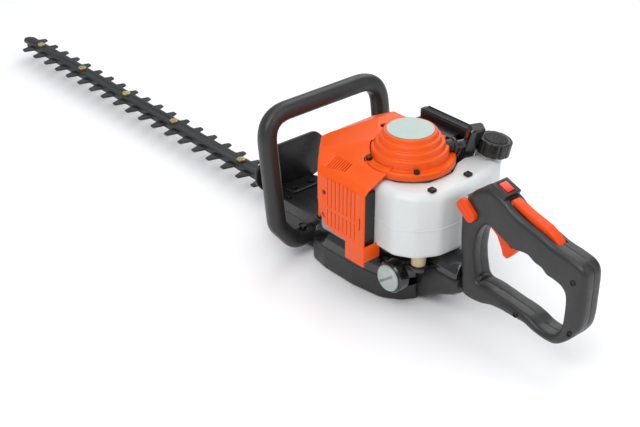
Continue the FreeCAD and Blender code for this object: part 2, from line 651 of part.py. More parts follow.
def rope_guide():
    """The flanged eyelet that the rope leaves through."""
    eyelet = fuse(rope_way("guide_round - 2", -3, 8.5), rope_way("guide_round", 8, 12))
    return cut(eyelet, rope_way("stem_round - 1.5", -4, 13))


def starter_grip():
    """A T-shaped grip: stem on the rope and a leaning bar across it with a hole for the knot."""
    heading = FreeCAD.Vector(size.grip_x - size.guide_x, size.grip_y - size.guide_y, 0)
    reach = heading.Length
    half = size.grip_thick / 2
    stem = Part.makeCylinder(size.stem_round, reach - 12.3, FreeCAD.Vector(12.3, 0, 0), FreeCAD.Vector(1, 0, 0))
    bar = Part.makeBox(size.grip_thick, size.grip_thick, 2 * size.grip_half,
                       FreeCAD.Vector(reach - half, -half, -size.grip_half))
    bar = bar.makeFillet(4, bar.Edges)
    bar.rotate(FreeCAD.Vector(reach, 0, 0), FreeCAD.Vector(1, 0, 0), size.grip_lean)
    hole = Part.makeCylinder(3, 8, FreeCAD.Vector(reach + half - 5, 0, 0), FreeCAD.Vector(1, 0, 0))
    grip = doc.addObject("Part::Feature", "StarterGrip")
    grip.Shape = stem.fuse(bar).cut(hole)
    grip.Placement = FreeCAD.Placement(
        FreeCAD.Vector(), FreeCAD.Rotation(FreeCAD.Vector(0, 0, 1), math.degrees(math.atan2(heading.y, heading.x))))
    return place(grip, "guide_x", "guide_y", "rope_level")


screw_turns = (-35, -113, 172)


def housing_screws():
    """Three screws on the starter housing's ledge and the two square studs on the tank."""
    heads = []
    for turn in screw_turns:
        reach = size.dome_skirt - 3.9
        x, y = reach * math.cos(math.radians(turn)), reach * math.sin(math.radians(turn))
        heads.append(rod("Z", (f"{x:.4f}", f"{y:.4f}"), 3.6, "dome_low + 9", "dome_low + 13"))
    heads += [box(("66", "74"), (f"{y} - 4", f"{y} + 4"), ("tank_high", "tank_high + 4")) for y in (-31, 29)]
    return group(*heads)


named(starter_housing(), "starter_housing")
named(housing_screws(), "housing_screws")
named(rod("Z", (0, 0), "label_round", "dome_top", "dome_top + label_thick"), "label_plate")
named(starter_pulley(), "starter_pulley")
named(ring("Z", (0, 0), "pulley_round - 1", "groove_round", "pulley_low + 2.7", "pulley_high - 2.7"),
      "starter_rope")
named(ring("Z", (0, 0), "pulley_round - 3", "post_round + 0.3", "spring_low", "spring_high"), "recoil_spring")
named(rope_guide(), "rope_guide")
named(starter_grip(), "starter_grip")

# ---------------------------------------------------------------- fuel tank


def tank_outline(inset):
    """The tank in plan: a crescent round the fan housing with a lobe under the filler neck."""
    near = f"wheel_round + fan_clear + fan_wall + 2 + {inset}"
    return [(f"-8 + {inset}", f"-({near})"), (f"-8 + {inset}", f"-68 + {inset}"), ("8", f"-76 + {inset}"),
            (f"44 - {inset}", f"-76 + {inset}"), (f"72 - {inset}", "-56"), (f"85 - {inset}", "-28"),
            (f"87 - {inset}", "0"), (f"85 - {inset}", "34"), (f"80 - {inset}", "62"),
            (f"71 - {inset}", "86"), (f"56 - {inset} / 2", f"102 - {inset}"), ("46", f"106 - {inset}"),
            (f"38 + {inset}", f"104 - {inset}"), (f"36 + {inset}", "60"), (f"40 + {inset}", "42"),
            (f"({near}) + 1", "20"), (f"({near}) + 1", "-20"), (f"27 + {inset}", "-48")]


LEAN = FreeCAD.Rotation(FreeCAD.Vector(-0.76, 0.65, 0), 10)


def leaned(thing):
    """Stands a piece of the filler on the leaning axis of the neck."""
    thing.Placement = FreeCAD.Placement(FreeCAD.Vector(), LEAN)
    return place(thing, "neck_x - 2.5", "neck_y - 3", "tank_high - 2")


def fuel_tank():
    skin = pad("XY", tank_outline("0"), "tank_low", "tank_high", {9: [1, 4, 5, 9], 5: [2, 3, 11, 12]})
    room = pad("XY", tank_outline("3"), "tank_low + 3", "tank_high - 3")
    neck = leaned(ring("Z", (0, 0), "neck_round", "neck_round - 3", 0, "neck_tall + 3"))
    mouth = leaned(rod("Z", (0, 0), "neck_round - 3", -5, "neck_tall"))
    return cut(fuse(cut(skin, room), neck), mouth)


def fuel_cap():
    skirt_low = "neck_tall - 1.5"
    cap = rod("Z", (0, 0), "cap_round", skirt_low, f"{skirt_low} + cap_tall")
    return leaned(cut(cap, rod("Z", (0, 0), "neck_round + 0.3", f"{skirt_low} - 1", "neck_tall + 4.5")))


def cap_gasket():
    return leaned(ring("Z", (0, 0), "neck_round", "neck_round - 4", "neck_tall + 3.2", "neck_tall + 4.5"))


named(fuel_tank(), "fuel_tank")
named(fuel_cap(), "fuel_cap")
named(cap_gasket(), "cap_gasket")
named(group(*[rod("Z", ("mount_x", f"{side} * mount_y"), "cup_round", "ear_top", "tank_low") for side in (-1, 1)]),
      "tank_mounts")

# ---------------------------------------------------------------- intake

CARB_OUT = "(port_reach + flange_thick + carb_deep)"


def carburettor():
    block = box(("port_at - carb_half", "port_at + carb_half"), ("port_reach + flange_thick", CARB_OUT),
                ("carb_low", "carb_high"))
    seat = rod("X", (f"{CARB_OUT} - carb_deep / 2", "carb_low + 12"), "bulb_round + 0.3",
               "port_at - carb_half - 1", "port_at - carb_half + 6")
    return cut(block, rod("Y", ("port_at", "cylinder_level"), "port_round - 4", "port_reach", "100"), seat)


def air_box():
    """The back plate of the air filter, bolted to the carburettor."""
    plate = box(("cover_front + 3", "airbox_back"), (CARB_OUT, f"{CARB_OUT} + airbox_wall"),
                ("cover_low + 3", "cover_high - 6"))
    return cut(plate, rod("Y", ("port_at", "cylinder_level"), "port_round - 4", "port_reach", "100"),
               dome_room())


def dome_room():
    """Room for the starter's skirt, with its clearance."""
    return rod("Z", (0, 0), "dome_skirt + cowl_clear", "dome_low - 1", "dome_top")


PLATE_OUT = f"({CARB_OUT} + airbox_wall)"


def cover_profile(inset):
    """The filter cover's section across the machine."""
    return [(f"{CARB_OUT} + 0.5", f"cover_low + {inset}"), (f"101 - {inset}", f"cover_low + {inset}"),
            (f"107 - {inset}", "cover_low + 40"), (f"105 - {inset}", "cover_low + 82"),
            (f"rib_far + 2 - {inset}", f"cover_high - {inset}"), (f"{CARB_OUT} + 0.5", f"cover_high - {inset}")]


def filter_cover():
    """The shell over the air filter, with the ribbed top that serves as its pull."""
    skin = pad("YZ", cover_profile("0"), "cover_front", "cover_back", {8: [1], 6: [4]})
    wall = "cover_wall"
    room = pad("YZ", [(f"{CARB_OUT} - 1", f"cover_low + {wall}")] + cover_profile(wall)[1:5]
               + [(f"{CARB_OUT} - 1", f"cover_high - {wall}")], f"cover_front + {wall}", f"cover_back - {wall}")
    top = box(("cover_front", "cover_back"), ("rib_near", "rib_far"), ("cover_high", "cover_high + rib_tall"))
    grooves = [box(("cover_front - 1", "cover_back + 1"), (f"rib_near + {y}", f"rib_near + {y} + 2"),
                   ("cover_high + rib_tall - 4", "cover_high + rib_tall + 1")) for y in (2.5, 6.5, 10.5)]
    parking = box(("airbox_back + 2", "cover_back + 1"), (CARB_OUT, "rib_near"), ("150", "cover_high + 1"))
    return cut(fuse(cut(skin, room), cut(top, *grooves)), parking, dome_room())


def air_filter():
    return softened(box(("cover_front + 8", "airbox_back - 2"), (PLATE_OUT, f"{PLATE_OUT} + filter_deep"),
                        ("cover_low + 9", "cover_low + 90")), 6, along("Y"))


def primer_bulb():
    """A soft dome in a recess of the carburettor's front face."""
    level = (f"{CARB_OUT} - carb_deep / 2", "carb_low + 12")
    face = "port_at - carb_half"
    return fuse(rod("X", level, "bulb_round", f"{face} - 1.5", f"{face} + 1.2"),
                cone("X", level, ("bulb_round - 4", "bulb_round - 0.5"), f"{face} - 6", f"{face} - 1.5"))


def choke_lever():
    """A lever turning against the carburettor's underside plate, with its tab reaching forward."""
    pivot = ("port_at - carb_half + 5", f"{CARB_OUT} - 6")
    hub = rod("Z", pivot, 4.5, "carb_high + 0.3", "carb_high + 4")
    arm = box(("port_at - carb_half - 22", "port_at - carb_half + 5"),
              (f"{CARB_OUT} - 8.5", f"{CARB_OUT} - 3.5"), ("carb_high + 0.3", "carb_high + 4"))
    tab = box(("port_at - carb_half - 26", "port_at - carb_half - 21"),
              (f"{CARB_OUT} - 10.5", f"{CARB_OUT} - 1.5"), ("carb_high + 0.3", "carb_high + 12"))
    return fuse(hub, arm, tab)


named(cut(box(("port_at - carb_half", "port_at + carb_half"), ("port_reach", "port_reach + flange_thick"),
              ("carb_low + 2", "carb_high - 2")),
          rod("Y", ("port_at", "cylinder_level"), "port_round - 4", "port_reach - 1", "100")), "intake_flange")
named(carburettor(), "carburettor")
named(air_box(), "air_box")
named(air_filter(), "air_filter")
named(filter_cover(), "filter_cover")
named(primer_bulb(), "primer_bulb")
named(choke_lever(), "choke_lever")

# ---------------------------------------------------------------- cowl


def cowl_block(inset, open_by):
    """The cowl's envelope: its plan, its section and its side view padded and shared."""
    plan = [(f"cowl_back + {open_by}", f"cowl_left + {inset}"), ("-66", f"cowl_left + {inset}"),
            (f"-77 + {inset} * 0.7", f"-80 + {inset} * 0.7"), (f"cowl_front + {inset}", f"-14 + {inset} * 0.4"),
            (f"cowl_front + {inset}", f"24 - {inset} * 0.4"), ("-122", f"cowl_right - {inset}"),
            (f"cowl_back + {open_by}", f"cowl_right - {inset}")]
    section = [("cowl_left - 1", f"cowl_low - {open_by}"), ("cowl_left - 1", f"cowl_top - 8 - {inset}"),
               ("-82", f"cowl_top - {inset}"), ("-64", f"cowl_top + 8 - {inset}"),
               ("-22", f"cowl_ridge - {inset}"), ("cowl_right + 1", f"cowl_ridge - {inset}"),
               ("cowl_right + 1", f"cowl_low - {open_by}")]
    side = [("cowl_front - 1", f"cowl_low - {open_by}"), ("cowl_front - 1", f"cowl_top - 22 - {inset}"),
            ("-112", f"cowl_top + 10 - {inset}"), ("-74", f"cowl_ridge - {inset}"),
            (f"cowl_back + {open_by} + 1", f"cowl_ridge - {inset}"),
            (f"cowl_back + {open_by} + 1", f"cowl_low - {open_by}")]
    high = "cowl_ridge + 10"
    body = common(pad("XY", plan, f"cowl_low - {open_by} - 1", high),
                  pad("YZ", section, "cowl_front - 2", f"cowl_back + {open_by} + 2"))
    return common(body, pad("XZ", side, "cowl_left - 2", "cowl_right + 2"))


def engine_cowl():
    """The cover over the cylinder and muffler, open below, behind and round the starter."""
    shell = cut(cowl_block("0", "0"), cowl_block("cowl_wall", "60"))
    wall = "cowl_wall"
    lip = box(("-15", "cowl_back"), ("cowl_left", f"cowl_left + {wall}"), ("cowl_lip", "cowl_low + 1"))
    starter = rod("Z", (0, 0), "dome_skirt + cowl_clear", "cowl_lip", "cowl_ridge + 20")
    behind = box(("-12", "cowl_back + 1"), ("cowl_left + cowl_wall + 3", "cowl_right + 1"),
                 ("cowl_lip - 1", "cowl_ridge + 20"))
    intake = box(("port_at - carb_half - 9", "port_at + carb_half + 6"), ("fin_half - 2", "cowl_right + 1"),
                 ("cowl_lip - 1", "carb_high + 16"))
    return cut(fuse(shell, lip), starter, behind, intake)


named(engine_cowl(), "engine_cowl")
named(box(("11", "13.5"), ("cowl_left + cowl_wall", "-77.5"), ("cowl_low + 2", "cowl_top - 12")), "cowl_liner")

# ---------------------------------------------------------------- base


def base_outline(inset):
    side = [(f"base_front + {inset}", f"52 - {inset}"), ("-113", f"57 - {inset}"), ("-86", f"base_half - {inset}"),
            ("-33", f"base_half - {inset}"), ("12", f"54 - {inset}"), ("33", f"38 - {inset}"),
            (f"42 - {inset}", f"23 - {inset} / 2")]
    return [(x, f"-({y})") for x, y in side] + [(x, y) for x, y in reversed(side)]


def base_housing():
    """The tray under the engine with the tail that rises to the handle's swivel."""
    tray = cut(pad("XY", base_outline("0"), 0, "base_split", {6: [1, 12]}),
               pad("XY", base_outline("base_wall"), "base_floor", "base_split + 1"))
    tail = pad("XZ", [("41", "0"), ("44", "0"), ("neck_end", "neck_at - neck_out"), ("neck_end", "neck_at - 2"),
                      ("42.2", "neck_at - 2"), ("42.2", "base_split"), ("41", "base_split")], -18, 18)
    way = box(("base_front - 1", "base_front + 5"), ("-case_half - 0.3", "case_half + 0.3"),
              ("base_floor", "base_split + 1"))
    door = rod("Y", ("door_x", "door_level"), "door_round + 4.2", -80, -20)
    return cut(fuse(tray, tail), way, door, spigot_way())


def spigot_way():
    return rod("X", (0, "neck_at"), "spigot_round + seat_fit", "neck_end - 12", "neck_end + 1")


def base_cover():
    """The glossy upper half of the base: roof, neck and the boss of the service plug."""
    tray = cut(pad("XY", base_outline("0"), "base_split", "cover_top", {6: [1, 12]}),
               pad("XY", base_outline("base_wall"), "base_split - 1", "cover_top - cover_roof"))
    neck = common(rod("X", (0, "neck_at"), "neck_out", "engine_half", "neck_end"),
                  box(("engine_half", "neck_end"), (-30, 30), ("neck_at - 2", "tank_low - 1.5")))
    root = box(("engine_half", "41.9"), (-20, 20), ("neck_at - 7", "neck_at"))
    ears = box(("mount_x - cup_round - 4", "mount_x + cup_round + 4"),
               ("-mount_y - cup_round - 3", "mount_y + cup_round + 3"), ("ear_top - 5", "ear_top"))
    bell = rod("Z", (0, 0), "bell_inside + bell_wall + 0.5", "base_split", "bell_top + 30")
    front = box(("base_front - 1", "-engine_half"), ("-case_half - 0.3", "case_half + 0.3"),
                ("base_split - 1", "case_top + 0.4"))
    boss = rod("Y", ("door_x", "door_level"), "door_round + 3.5", "-58", "-case_half - 1.5")
    bore = rod("Y", ("door_x", "door_level"), "8 + running_fit", "-59", "-46")
    return cut(fuse(tray, neck, root, ears, boss), bell, front, bore, spigot_way())


def service_plug():
    """A quarter-turn plug with a slot across its face."""
    plug = fuse(rod("Y", ("door_x", "door_level"), "door_round", "-62.5", "-58.3"),
                rod("Y", ("door_x", "door_level"), 8, "-58.4", "-47"))
    slot = box(("door_x - door_round * 0.8", "door_x + door_round * 0.8"), (-64, "-62.5 + 2"),
               ("door_level - 1.6", "door_level + 1.6"))
    return cut(plug, slot)


named(base_housing(), "base_housing")
named(base_cover(), "base_cover")
named(service_plug(), "service_plug")
named(rod("X", (0, "neck_at"), "spigot_round", "neck_end - 12", "spigot_end"), "swivel_spigot")

# ---------------------------------------------------------------- rear handle

HANDLE_OUTER = [(107.3, 38), (107.3, 85), (101, 86), (101, 152), (106, 170), (119, 184), (137, 195), (167, 184),
                (223, 163), (266, 157), (283, 149), (288, 136), (287, 82), (272, 57), (257, 44), (243, 41),
                (225, 42), (208, 47), (158, 44), (118, 38)]
HANDLE_INNER = [(136, 68), (134, 128), (142, 142), (156, 147), (189, 134), (222, 129), (247, 121), (260, 110),
                (261, 72), (252, 57), (232, 53), (213, 59), (186, 62)]
TRIGGER = [(139, 151), (148, 157), (186, 140), (184, 133), (177, 122), (169, 112), (163, 114), (160, 122),
           (152, 136), (141, 143)]
LOCKOUT = [(167, 189), (173, 191), (205, 180), (232, 171), (243, 162), (240, 160), (226, 164), (180, 180),
           (170, 181)]
TRIGGER_PIN, LOCKOUT_PIN = (146, 149), (172, 185.5)
TRIGGER_PULL, LOCKOUT_PUSH = -14, 4


def face_of(points):
    """A flat face in the XZ plane from outline points that keep their place from the swivel's end."""
    reach = size.neck_end - 107
    lift = size.neck_at - 60
    corners = [FreeCAD.Vector(x + reach, 0, z + lift) for x, z in points]
    return Part.Face(Part.makePolygon(corners + corners[:1]))


def slab(points, low, high):
    """A plate of the handle between two sideways distances from its middle plane."""
    shape = face_of(points).extrude(FreeCAD.Vector(0, high - low, 0))
    shape.translate(FreeCAD.Vector(0, low, 0))
    return shape


def grown(points, by):
    """An outline moved outwards (or inwards when negative) by a distance."""
    return face_of(points).makeOffset2D(by, 2)


def swept(points, spot, turn, reach):
    """The room that a lever needs between rest and its limit, as tools to cut with."""
    tools = []
    for share in (0, 0.5, 1):
        tool = grown(points, 2.0).extrude(FreeCAD.Vector(0, 2 * reach, 0))
        tool.translate(FreeCAD.Vector(0, -reach, 0))
        tool.rotate(at_handle(spot), FreeCAD.Vector(0, 1, 0), turn * share)
        tools.append(tool)
    return tools


def handle_shell(side):
    """One half of the rear handle: a rim, an outer wall and the rooms for its levers."""
    half, wall = size.half_grip, size.shell_wall
    low, high = (0.0, half) if side > 0 else (-half, 0.0)
    body = slab(HANDLE_OUTER, low, high).cut(slab(HANDLE_INNER, low - 1, high + 1))
    room_outer = grown(HANDLE_OUTER, -wall)
    room_inner = grown(HANDLE_INNER, wall)
    room = room_outer.cut(room_inner).extrude(FreeCAD.Vector(0, half - wall, 0))
    if side < 0:
        room.translate(FreeCAD.Vector(0, -(half - wall), 0))
    axis = FreeCAD.Vector(1, 0, 0)
    collar = Part.makeCylinder(size.spigot_round + 4, size.spigot_end - size.neck_end - 2,
                               FreeCAD.Vector(size.neck_end + size.swivel_gap, 0, size.neck_at), axis)
    collar = collar.common(Part.makeBox(200, half, 200, FreeCAD.Vector(size.neck_end, low, 0)))
    body = body.cut(room).fuse(collar)
    bore_from = size.neck_end - 20
    tools = [Part.makeCylinder(size.spigot_round + size.running_fit, size.spigot_end + 0.3 - bore_from,
                               FreeCAD.Vector(bore_from, 0, size.neck_at), axis)]
    tools += swept(TRIGGER, TRIGGER_PIN, TRIGGER_PULL, size.trigger_half + 0.8)
    tools += swept(LOCKOUT, LOCKOUT_PIN, LOCKOUT_PUSH, size.lever_half + 0.8)
    if side < 0:
        tools.append(pill(size.button_fit, -half - 10, -half / 3))
    body = body.cut(tools).removeSplitter()
    shell = doc.addObject("Part::Feature", "HandleShell")
    shell.Shape = body
    return shell


def at_handle(spot):
    """A point of the handle's outline in the model, in its middle plane."""
    return FreeCAD.Vector(spot[0] + size.neck_end - 107, 0, spot[1] + size.neck_at - 60)


def pinned(points, half, spot, radius):
    """A lever of the handle bored for its pin."""
    bore = Part.makeCylinder(radius + size.running_fit, 4 * half, at_handle(spot) - FreeCAD.Vector(0, 2 * half, 0),
                             FreeCAD.Vector(0, 1, 0))
    piece = doc.addObject("Part::Feature", "Lever")
    piece.Shape = slab(points, -half, half).cut(bore)
    return piece


def handle_pins():
    """The pins that the trigger and the lockout turn on, held between the two shells."""
    reach = size.half_grip - size.shell_wall
    pins = doc.addObject("Part::Feature", "HandlePins")
    pins.Shape = Part.makeCompound([
        Part.makeCylinder(radius, 2 * reach, at_handle(spot) - FreeCAD.Vector(0, reach, 0), FreeCAD.Vector(0, 1, 0))
        for spot, radius in ((TRIGGER_PIN, size.trigger_pin), (LOCKOUT_PIN, size.lockout_pin))])
    return pins


CATCH_AT = (115, 158)


def pill(grow, low, high):
    """The catch's rounded outline between two sideways distances, grown by a clearance."""
    long, tall = size.button_long / 2 + grow, size.button_tall / 2 + grow
    shape = Part.makeBox(2 * long, high - low, 2 * tall, FreeCAD.Vector(-long, low, -tall))
    shape = shape.makeFillet(tall - 0.5, [edge for edge in shape.Edges if abs(edge.Curve.Direction.y) > 0.99])
    shape.rotate(FreeCAD.Vector(), FreeCAD.Vector(0, 1, 0), 38)
    shape.translate(at_handle(CATCH_AT))
    return shape


def swivel_button():
    """The pill-shaped catch in the left cheek with the stem that holds its spring."""
    outer = -size.half_grip - size.button_proud
    stem = Part.makeCylinder(5, 6, at_handle(CATCH_AT) + FreeCAD.Vector(0, -size.half_grip + 0.5, 0),
                             FreeCAD.Vector(0, 1, 0))
    button = doc.addObject("Part::Feature", "SwivelButton")
    button.Shape = pill(0, outer, -size.half_grip + 1).fuse(stem)
    return button


SWITCH_AT = (152, 189.5)
SWITCH_SLOPE = math.degrees(math.atan2(195 - 184, 167 - 137))


def switch_housing():
    """The square housing of the stop switch on top of the handle's head."""
    body = Part.makeBox(24, 26, 10, FreeCAD.Vector(-12, -13, 0))
    well = Part.makeBox(17, 13, 8, FreeCAD.Vector(-8.5, -6.5, 4))
    shape = body.cut(well)
    shape.rotate(FreeCAD.Vector(), FreeCAD.Vector(0, 1, 0), SWITCH_SLOPE)
    shape.translate(at_handle(SWITCH_AT))
    housing = doc.addObject("Part::Feature", "SwitchHousing")
    housing.Shape = shape
    return housing


def stop_switch():
    """The rocker of the stop switch with the pin that it tips on."""
    rocker = Part.makeBox(14.6, 11.6, 5, FreeCAD.Vector(-7.3, -5.8, 6))
    pin = Part.makeCylinder(1.5, 12.8, FreeCAD.Vector(0, -6.4, 8), FreeCAD.Vector(0, 1, 0))
    rocker = rocker.fuse(pin)
    rocker.rotate(FreeCAD.Vector(), FreeCAD.Vector(0, 1, 0), SWITCH_SLOPE)
    rocker.translate(at_handle(SWITCH_AT))
    switch = doc.addObject("Part::Feature", "StopSwitch")
    switch.Shape = rocker
    return switch


named(handle_shell(-1), "handle_shell_left")
named(handle_shell(1), "handle_shell_right")
named(pinned(TRIGGER, size.trigger_half, TRIGGER_PIN, size.trigger_pin), "throttle_trigger")
named(pinned(LOCKOUT, size.lever_half, LOCKOUT_PIN, size.lockout_pin), "throttle_lockout")
named(handle_pins(), "handle_pins")
named(swivel_button(), "swivel_catch")
named(switch_housing(), "switch_housing")
named(stop_switch(), "stop_switch")

# ---------------------------------------------------------------- front handle and guard


def loop_point(y, z):
    return FreeCAD.Vector(size.loop_at - (z - 52) * size.loop_lean, y, z)


def rounded_path(points, radii):
    """Straight runs joined by tangent arcs at the inner points."""
    edges, last = [], points[0]
    for before, corner, after, radius in zip(points, points[1:], points[2:], radii):
        way_in, way_out = (corner - before).normalize(), (after - corner).normalize()
        setback = radius * math.tan(way_in.getAngle(way_out) / 2)
        enter, leave = corner - way_in * setback, corner + way_out * setback
        inward = (way_out - way_in).normalize()
        middle = corner + inward * (math.hypot(radius, setback) - radius)
        edges += [Part.makeLine(last, enter), Part.Arc(enter, middle, leave).toShape()]
        last = leave
    edges.append(Part.makeLine(last, points[-1]))
    return Part.Wire(edges)


def front_handle():
    """The loop handle: one round bar bent over the machine, its feet turned in to the gear case."""
    half, foot = size.loop_half, size.loop_foot
    left = [(-size.case_half - 0.1, foot), (-size.case_half - 30, foot), (-half, size.loop_knee),
            (-half, size.loop_high)]
    spots = [loop_point(y, z) for y, z in left + [(-y, z) for y, z in reversed(left)]]
    radii = [size.knee_corner, size.knee_corner, size.loop_corner]
    path = rounded_path(spots, radii + radii[::-1])
    skin, core = [path.makePipeShell([Part.Wire(Part.makeCircle(radius, spots[0], spots[1] - spots[0]))],
                                     True, True) for radius in (size.loop_round, size.loop_round - size.loop_wall)]
    loop = doc.addObject("Part::Feature", "FrontHandle")
    shape = skin.cut(core)
    for y in (-1, 1):
        shape = shape.cut(Part.makeCylinder(3.2, 40, FreeCAD.Vector(
            size.loop_at + (52 - foot) * size.loop_lean, y * (size.case_half + 14), foot - 20)))
    loop.Shape = shape
    return loop


def case_screws():
    """The bolts through the handle's feet and the screws of the guard's foot."""
    x = "loop_at + (52 - loop_foot) * loop_lean"
    bolts = []
    for side in (-1, 1):
        spot = (x, f"{side} * (case_half + 14)")
        bolts.append(fuse(rod("Z", spot, 3, "loop_foot - 8", "loop_foot + loop_round + 0.5"),
                          rod("Z", spot, 5.5, "loop_foot + loop_round", "loop_foot + loop_round + 4")))
        spot = ("guard_at + 20", side * 14)
        bolts.append(fuse(rod("Z", spot, 4.5, "case_top + 3", "case_top + 6.5"),
                          rod("Z", spot, 2.5, "case_top", "case_top + 3.5")))
    return group(*bolts)


def hand_guard():
    """The upright plate between the hand and the blade, on a foot screwed to the gear case."""
    side = [("34", "case_top"), ("55", "case_top + 6"), ("guard_half", "case_top + 20"),
            ("guard_half", "guard_high - 28"), ("guard_half - 28", "guard_high")]
    plate = pad("YZ", [(f"-({y})", z) for y, z in side] + [(y, z) for y, z in reversed(side)],
                "guard_at", "guard_at + guard_thick", {12: [3, 4, 5, 6]})
    foot = box(("guard_at", "guard_at + guard_foot"), (-24, 24), ("case_top", "case_top + 3"))
    holes = [rod("Z", ("guard_at + 20", y), 2.6, "case_top - 1", "case_top + 4") for y in (-14, 14)]
    return cut(fuse(plate, foot), *holes)


named(front_handle(), "front_handle")
named(case_screws(), "case_screws")
named(hand_guard(), "hand_guard")

# ---------------------------------------------------------------- check and write

doc.recompute()
failed = [item.Name for item in doc.Objects if "Invalid" in item.State or "Error" in item.State]
if failed:
    raise RuntimeError("these objects failed: " + ", ".join(failed))
os.makedirs("parts", exist_ok=True)
for node in nodes:
    if node.Shape.isNull() or not node.Shape.isValid():
        raise RuntimeError(node.Label + " has no valid shape")
for node in nodes:
    node.Shape.exportStep(os.path.join("parts", node.Label + ".step"))
print(len(nodes), "nodes written")
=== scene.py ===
"""Looks of a petrol hedge trimmer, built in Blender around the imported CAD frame, in metres."""
import json
import logging
import math
from dataclasses import dataclass
from enum import Enum
from typing import Callable, Optional, Sequence

import bmesh
import bpy
from mathutils import Matrix, Vector

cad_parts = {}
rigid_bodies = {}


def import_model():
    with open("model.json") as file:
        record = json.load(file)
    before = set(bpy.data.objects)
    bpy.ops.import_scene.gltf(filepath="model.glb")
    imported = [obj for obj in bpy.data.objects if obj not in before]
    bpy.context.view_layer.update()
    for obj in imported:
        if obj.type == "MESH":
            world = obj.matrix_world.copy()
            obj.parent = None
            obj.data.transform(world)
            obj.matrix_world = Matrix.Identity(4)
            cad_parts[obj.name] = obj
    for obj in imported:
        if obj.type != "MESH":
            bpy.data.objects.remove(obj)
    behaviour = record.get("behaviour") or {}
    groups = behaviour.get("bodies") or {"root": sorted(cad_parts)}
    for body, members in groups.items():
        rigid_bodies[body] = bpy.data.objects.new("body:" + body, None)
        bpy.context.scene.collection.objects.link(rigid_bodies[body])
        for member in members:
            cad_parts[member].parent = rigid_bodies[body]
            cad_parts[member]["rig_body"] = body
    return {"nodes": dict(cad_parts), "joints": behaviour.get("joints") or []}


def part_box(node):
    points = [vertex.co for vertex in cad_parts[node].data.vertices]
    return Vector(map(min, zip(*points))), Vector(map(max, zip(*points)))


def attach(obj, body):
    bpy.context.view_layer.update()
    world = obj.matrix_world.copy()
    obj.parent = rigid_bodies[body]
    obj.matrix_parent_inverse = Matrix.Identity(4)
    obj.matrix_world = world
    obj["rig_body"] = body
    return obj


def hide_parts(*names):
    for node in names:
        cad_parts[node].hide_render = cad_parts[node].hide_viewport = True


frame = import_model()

logging.basicConfig(level=logging.INFO, format="%(levelname)s %(message)s")
log = logging.getLogger("trimmer")

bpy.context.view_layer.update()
MM = 0.001
Flat = tuple[float, float]
Thing, Socket, Tree, Material = bpy.types.Object, bpy.types.NodeSocket, bpy.types.NodeTree, bpy.types.Material
ALONG, ACROSS, UP = Vector((1, 0, 0)), Vector((0, 1, 0)), Vector((0, 0, 1))


class Plane(Enum):
    """The plane that an outline is drawn in."""

    XY = "XY"
    XZ = "XZ"
    YZ = "YZ"


class Grain(Enum):
    """How a surface was made, which sets its fine relief."""

    MOULDED = "moulded"
    GLOSS = "gloss"
    CAST = "cast"
    GROUND = "ground"
    RUBBER = "rubber"
    FOAM = "foam"
    WOVEN = "woven"


@dataclass(frozen=True)
class Finish:
    """One material: its colour, sheen and grain."""

    name: str
    slot: str
    colour: tuple[float, float, float]
    grain: Grain = Grain.MOULDED
    rough: float = 0.45
    metallic: float = 0.0
    coat: float = 0.0
    mottle: float = 0.12
    relief: float = 1.0
    subsurface: float = 0.0
    wear: float = 0.0


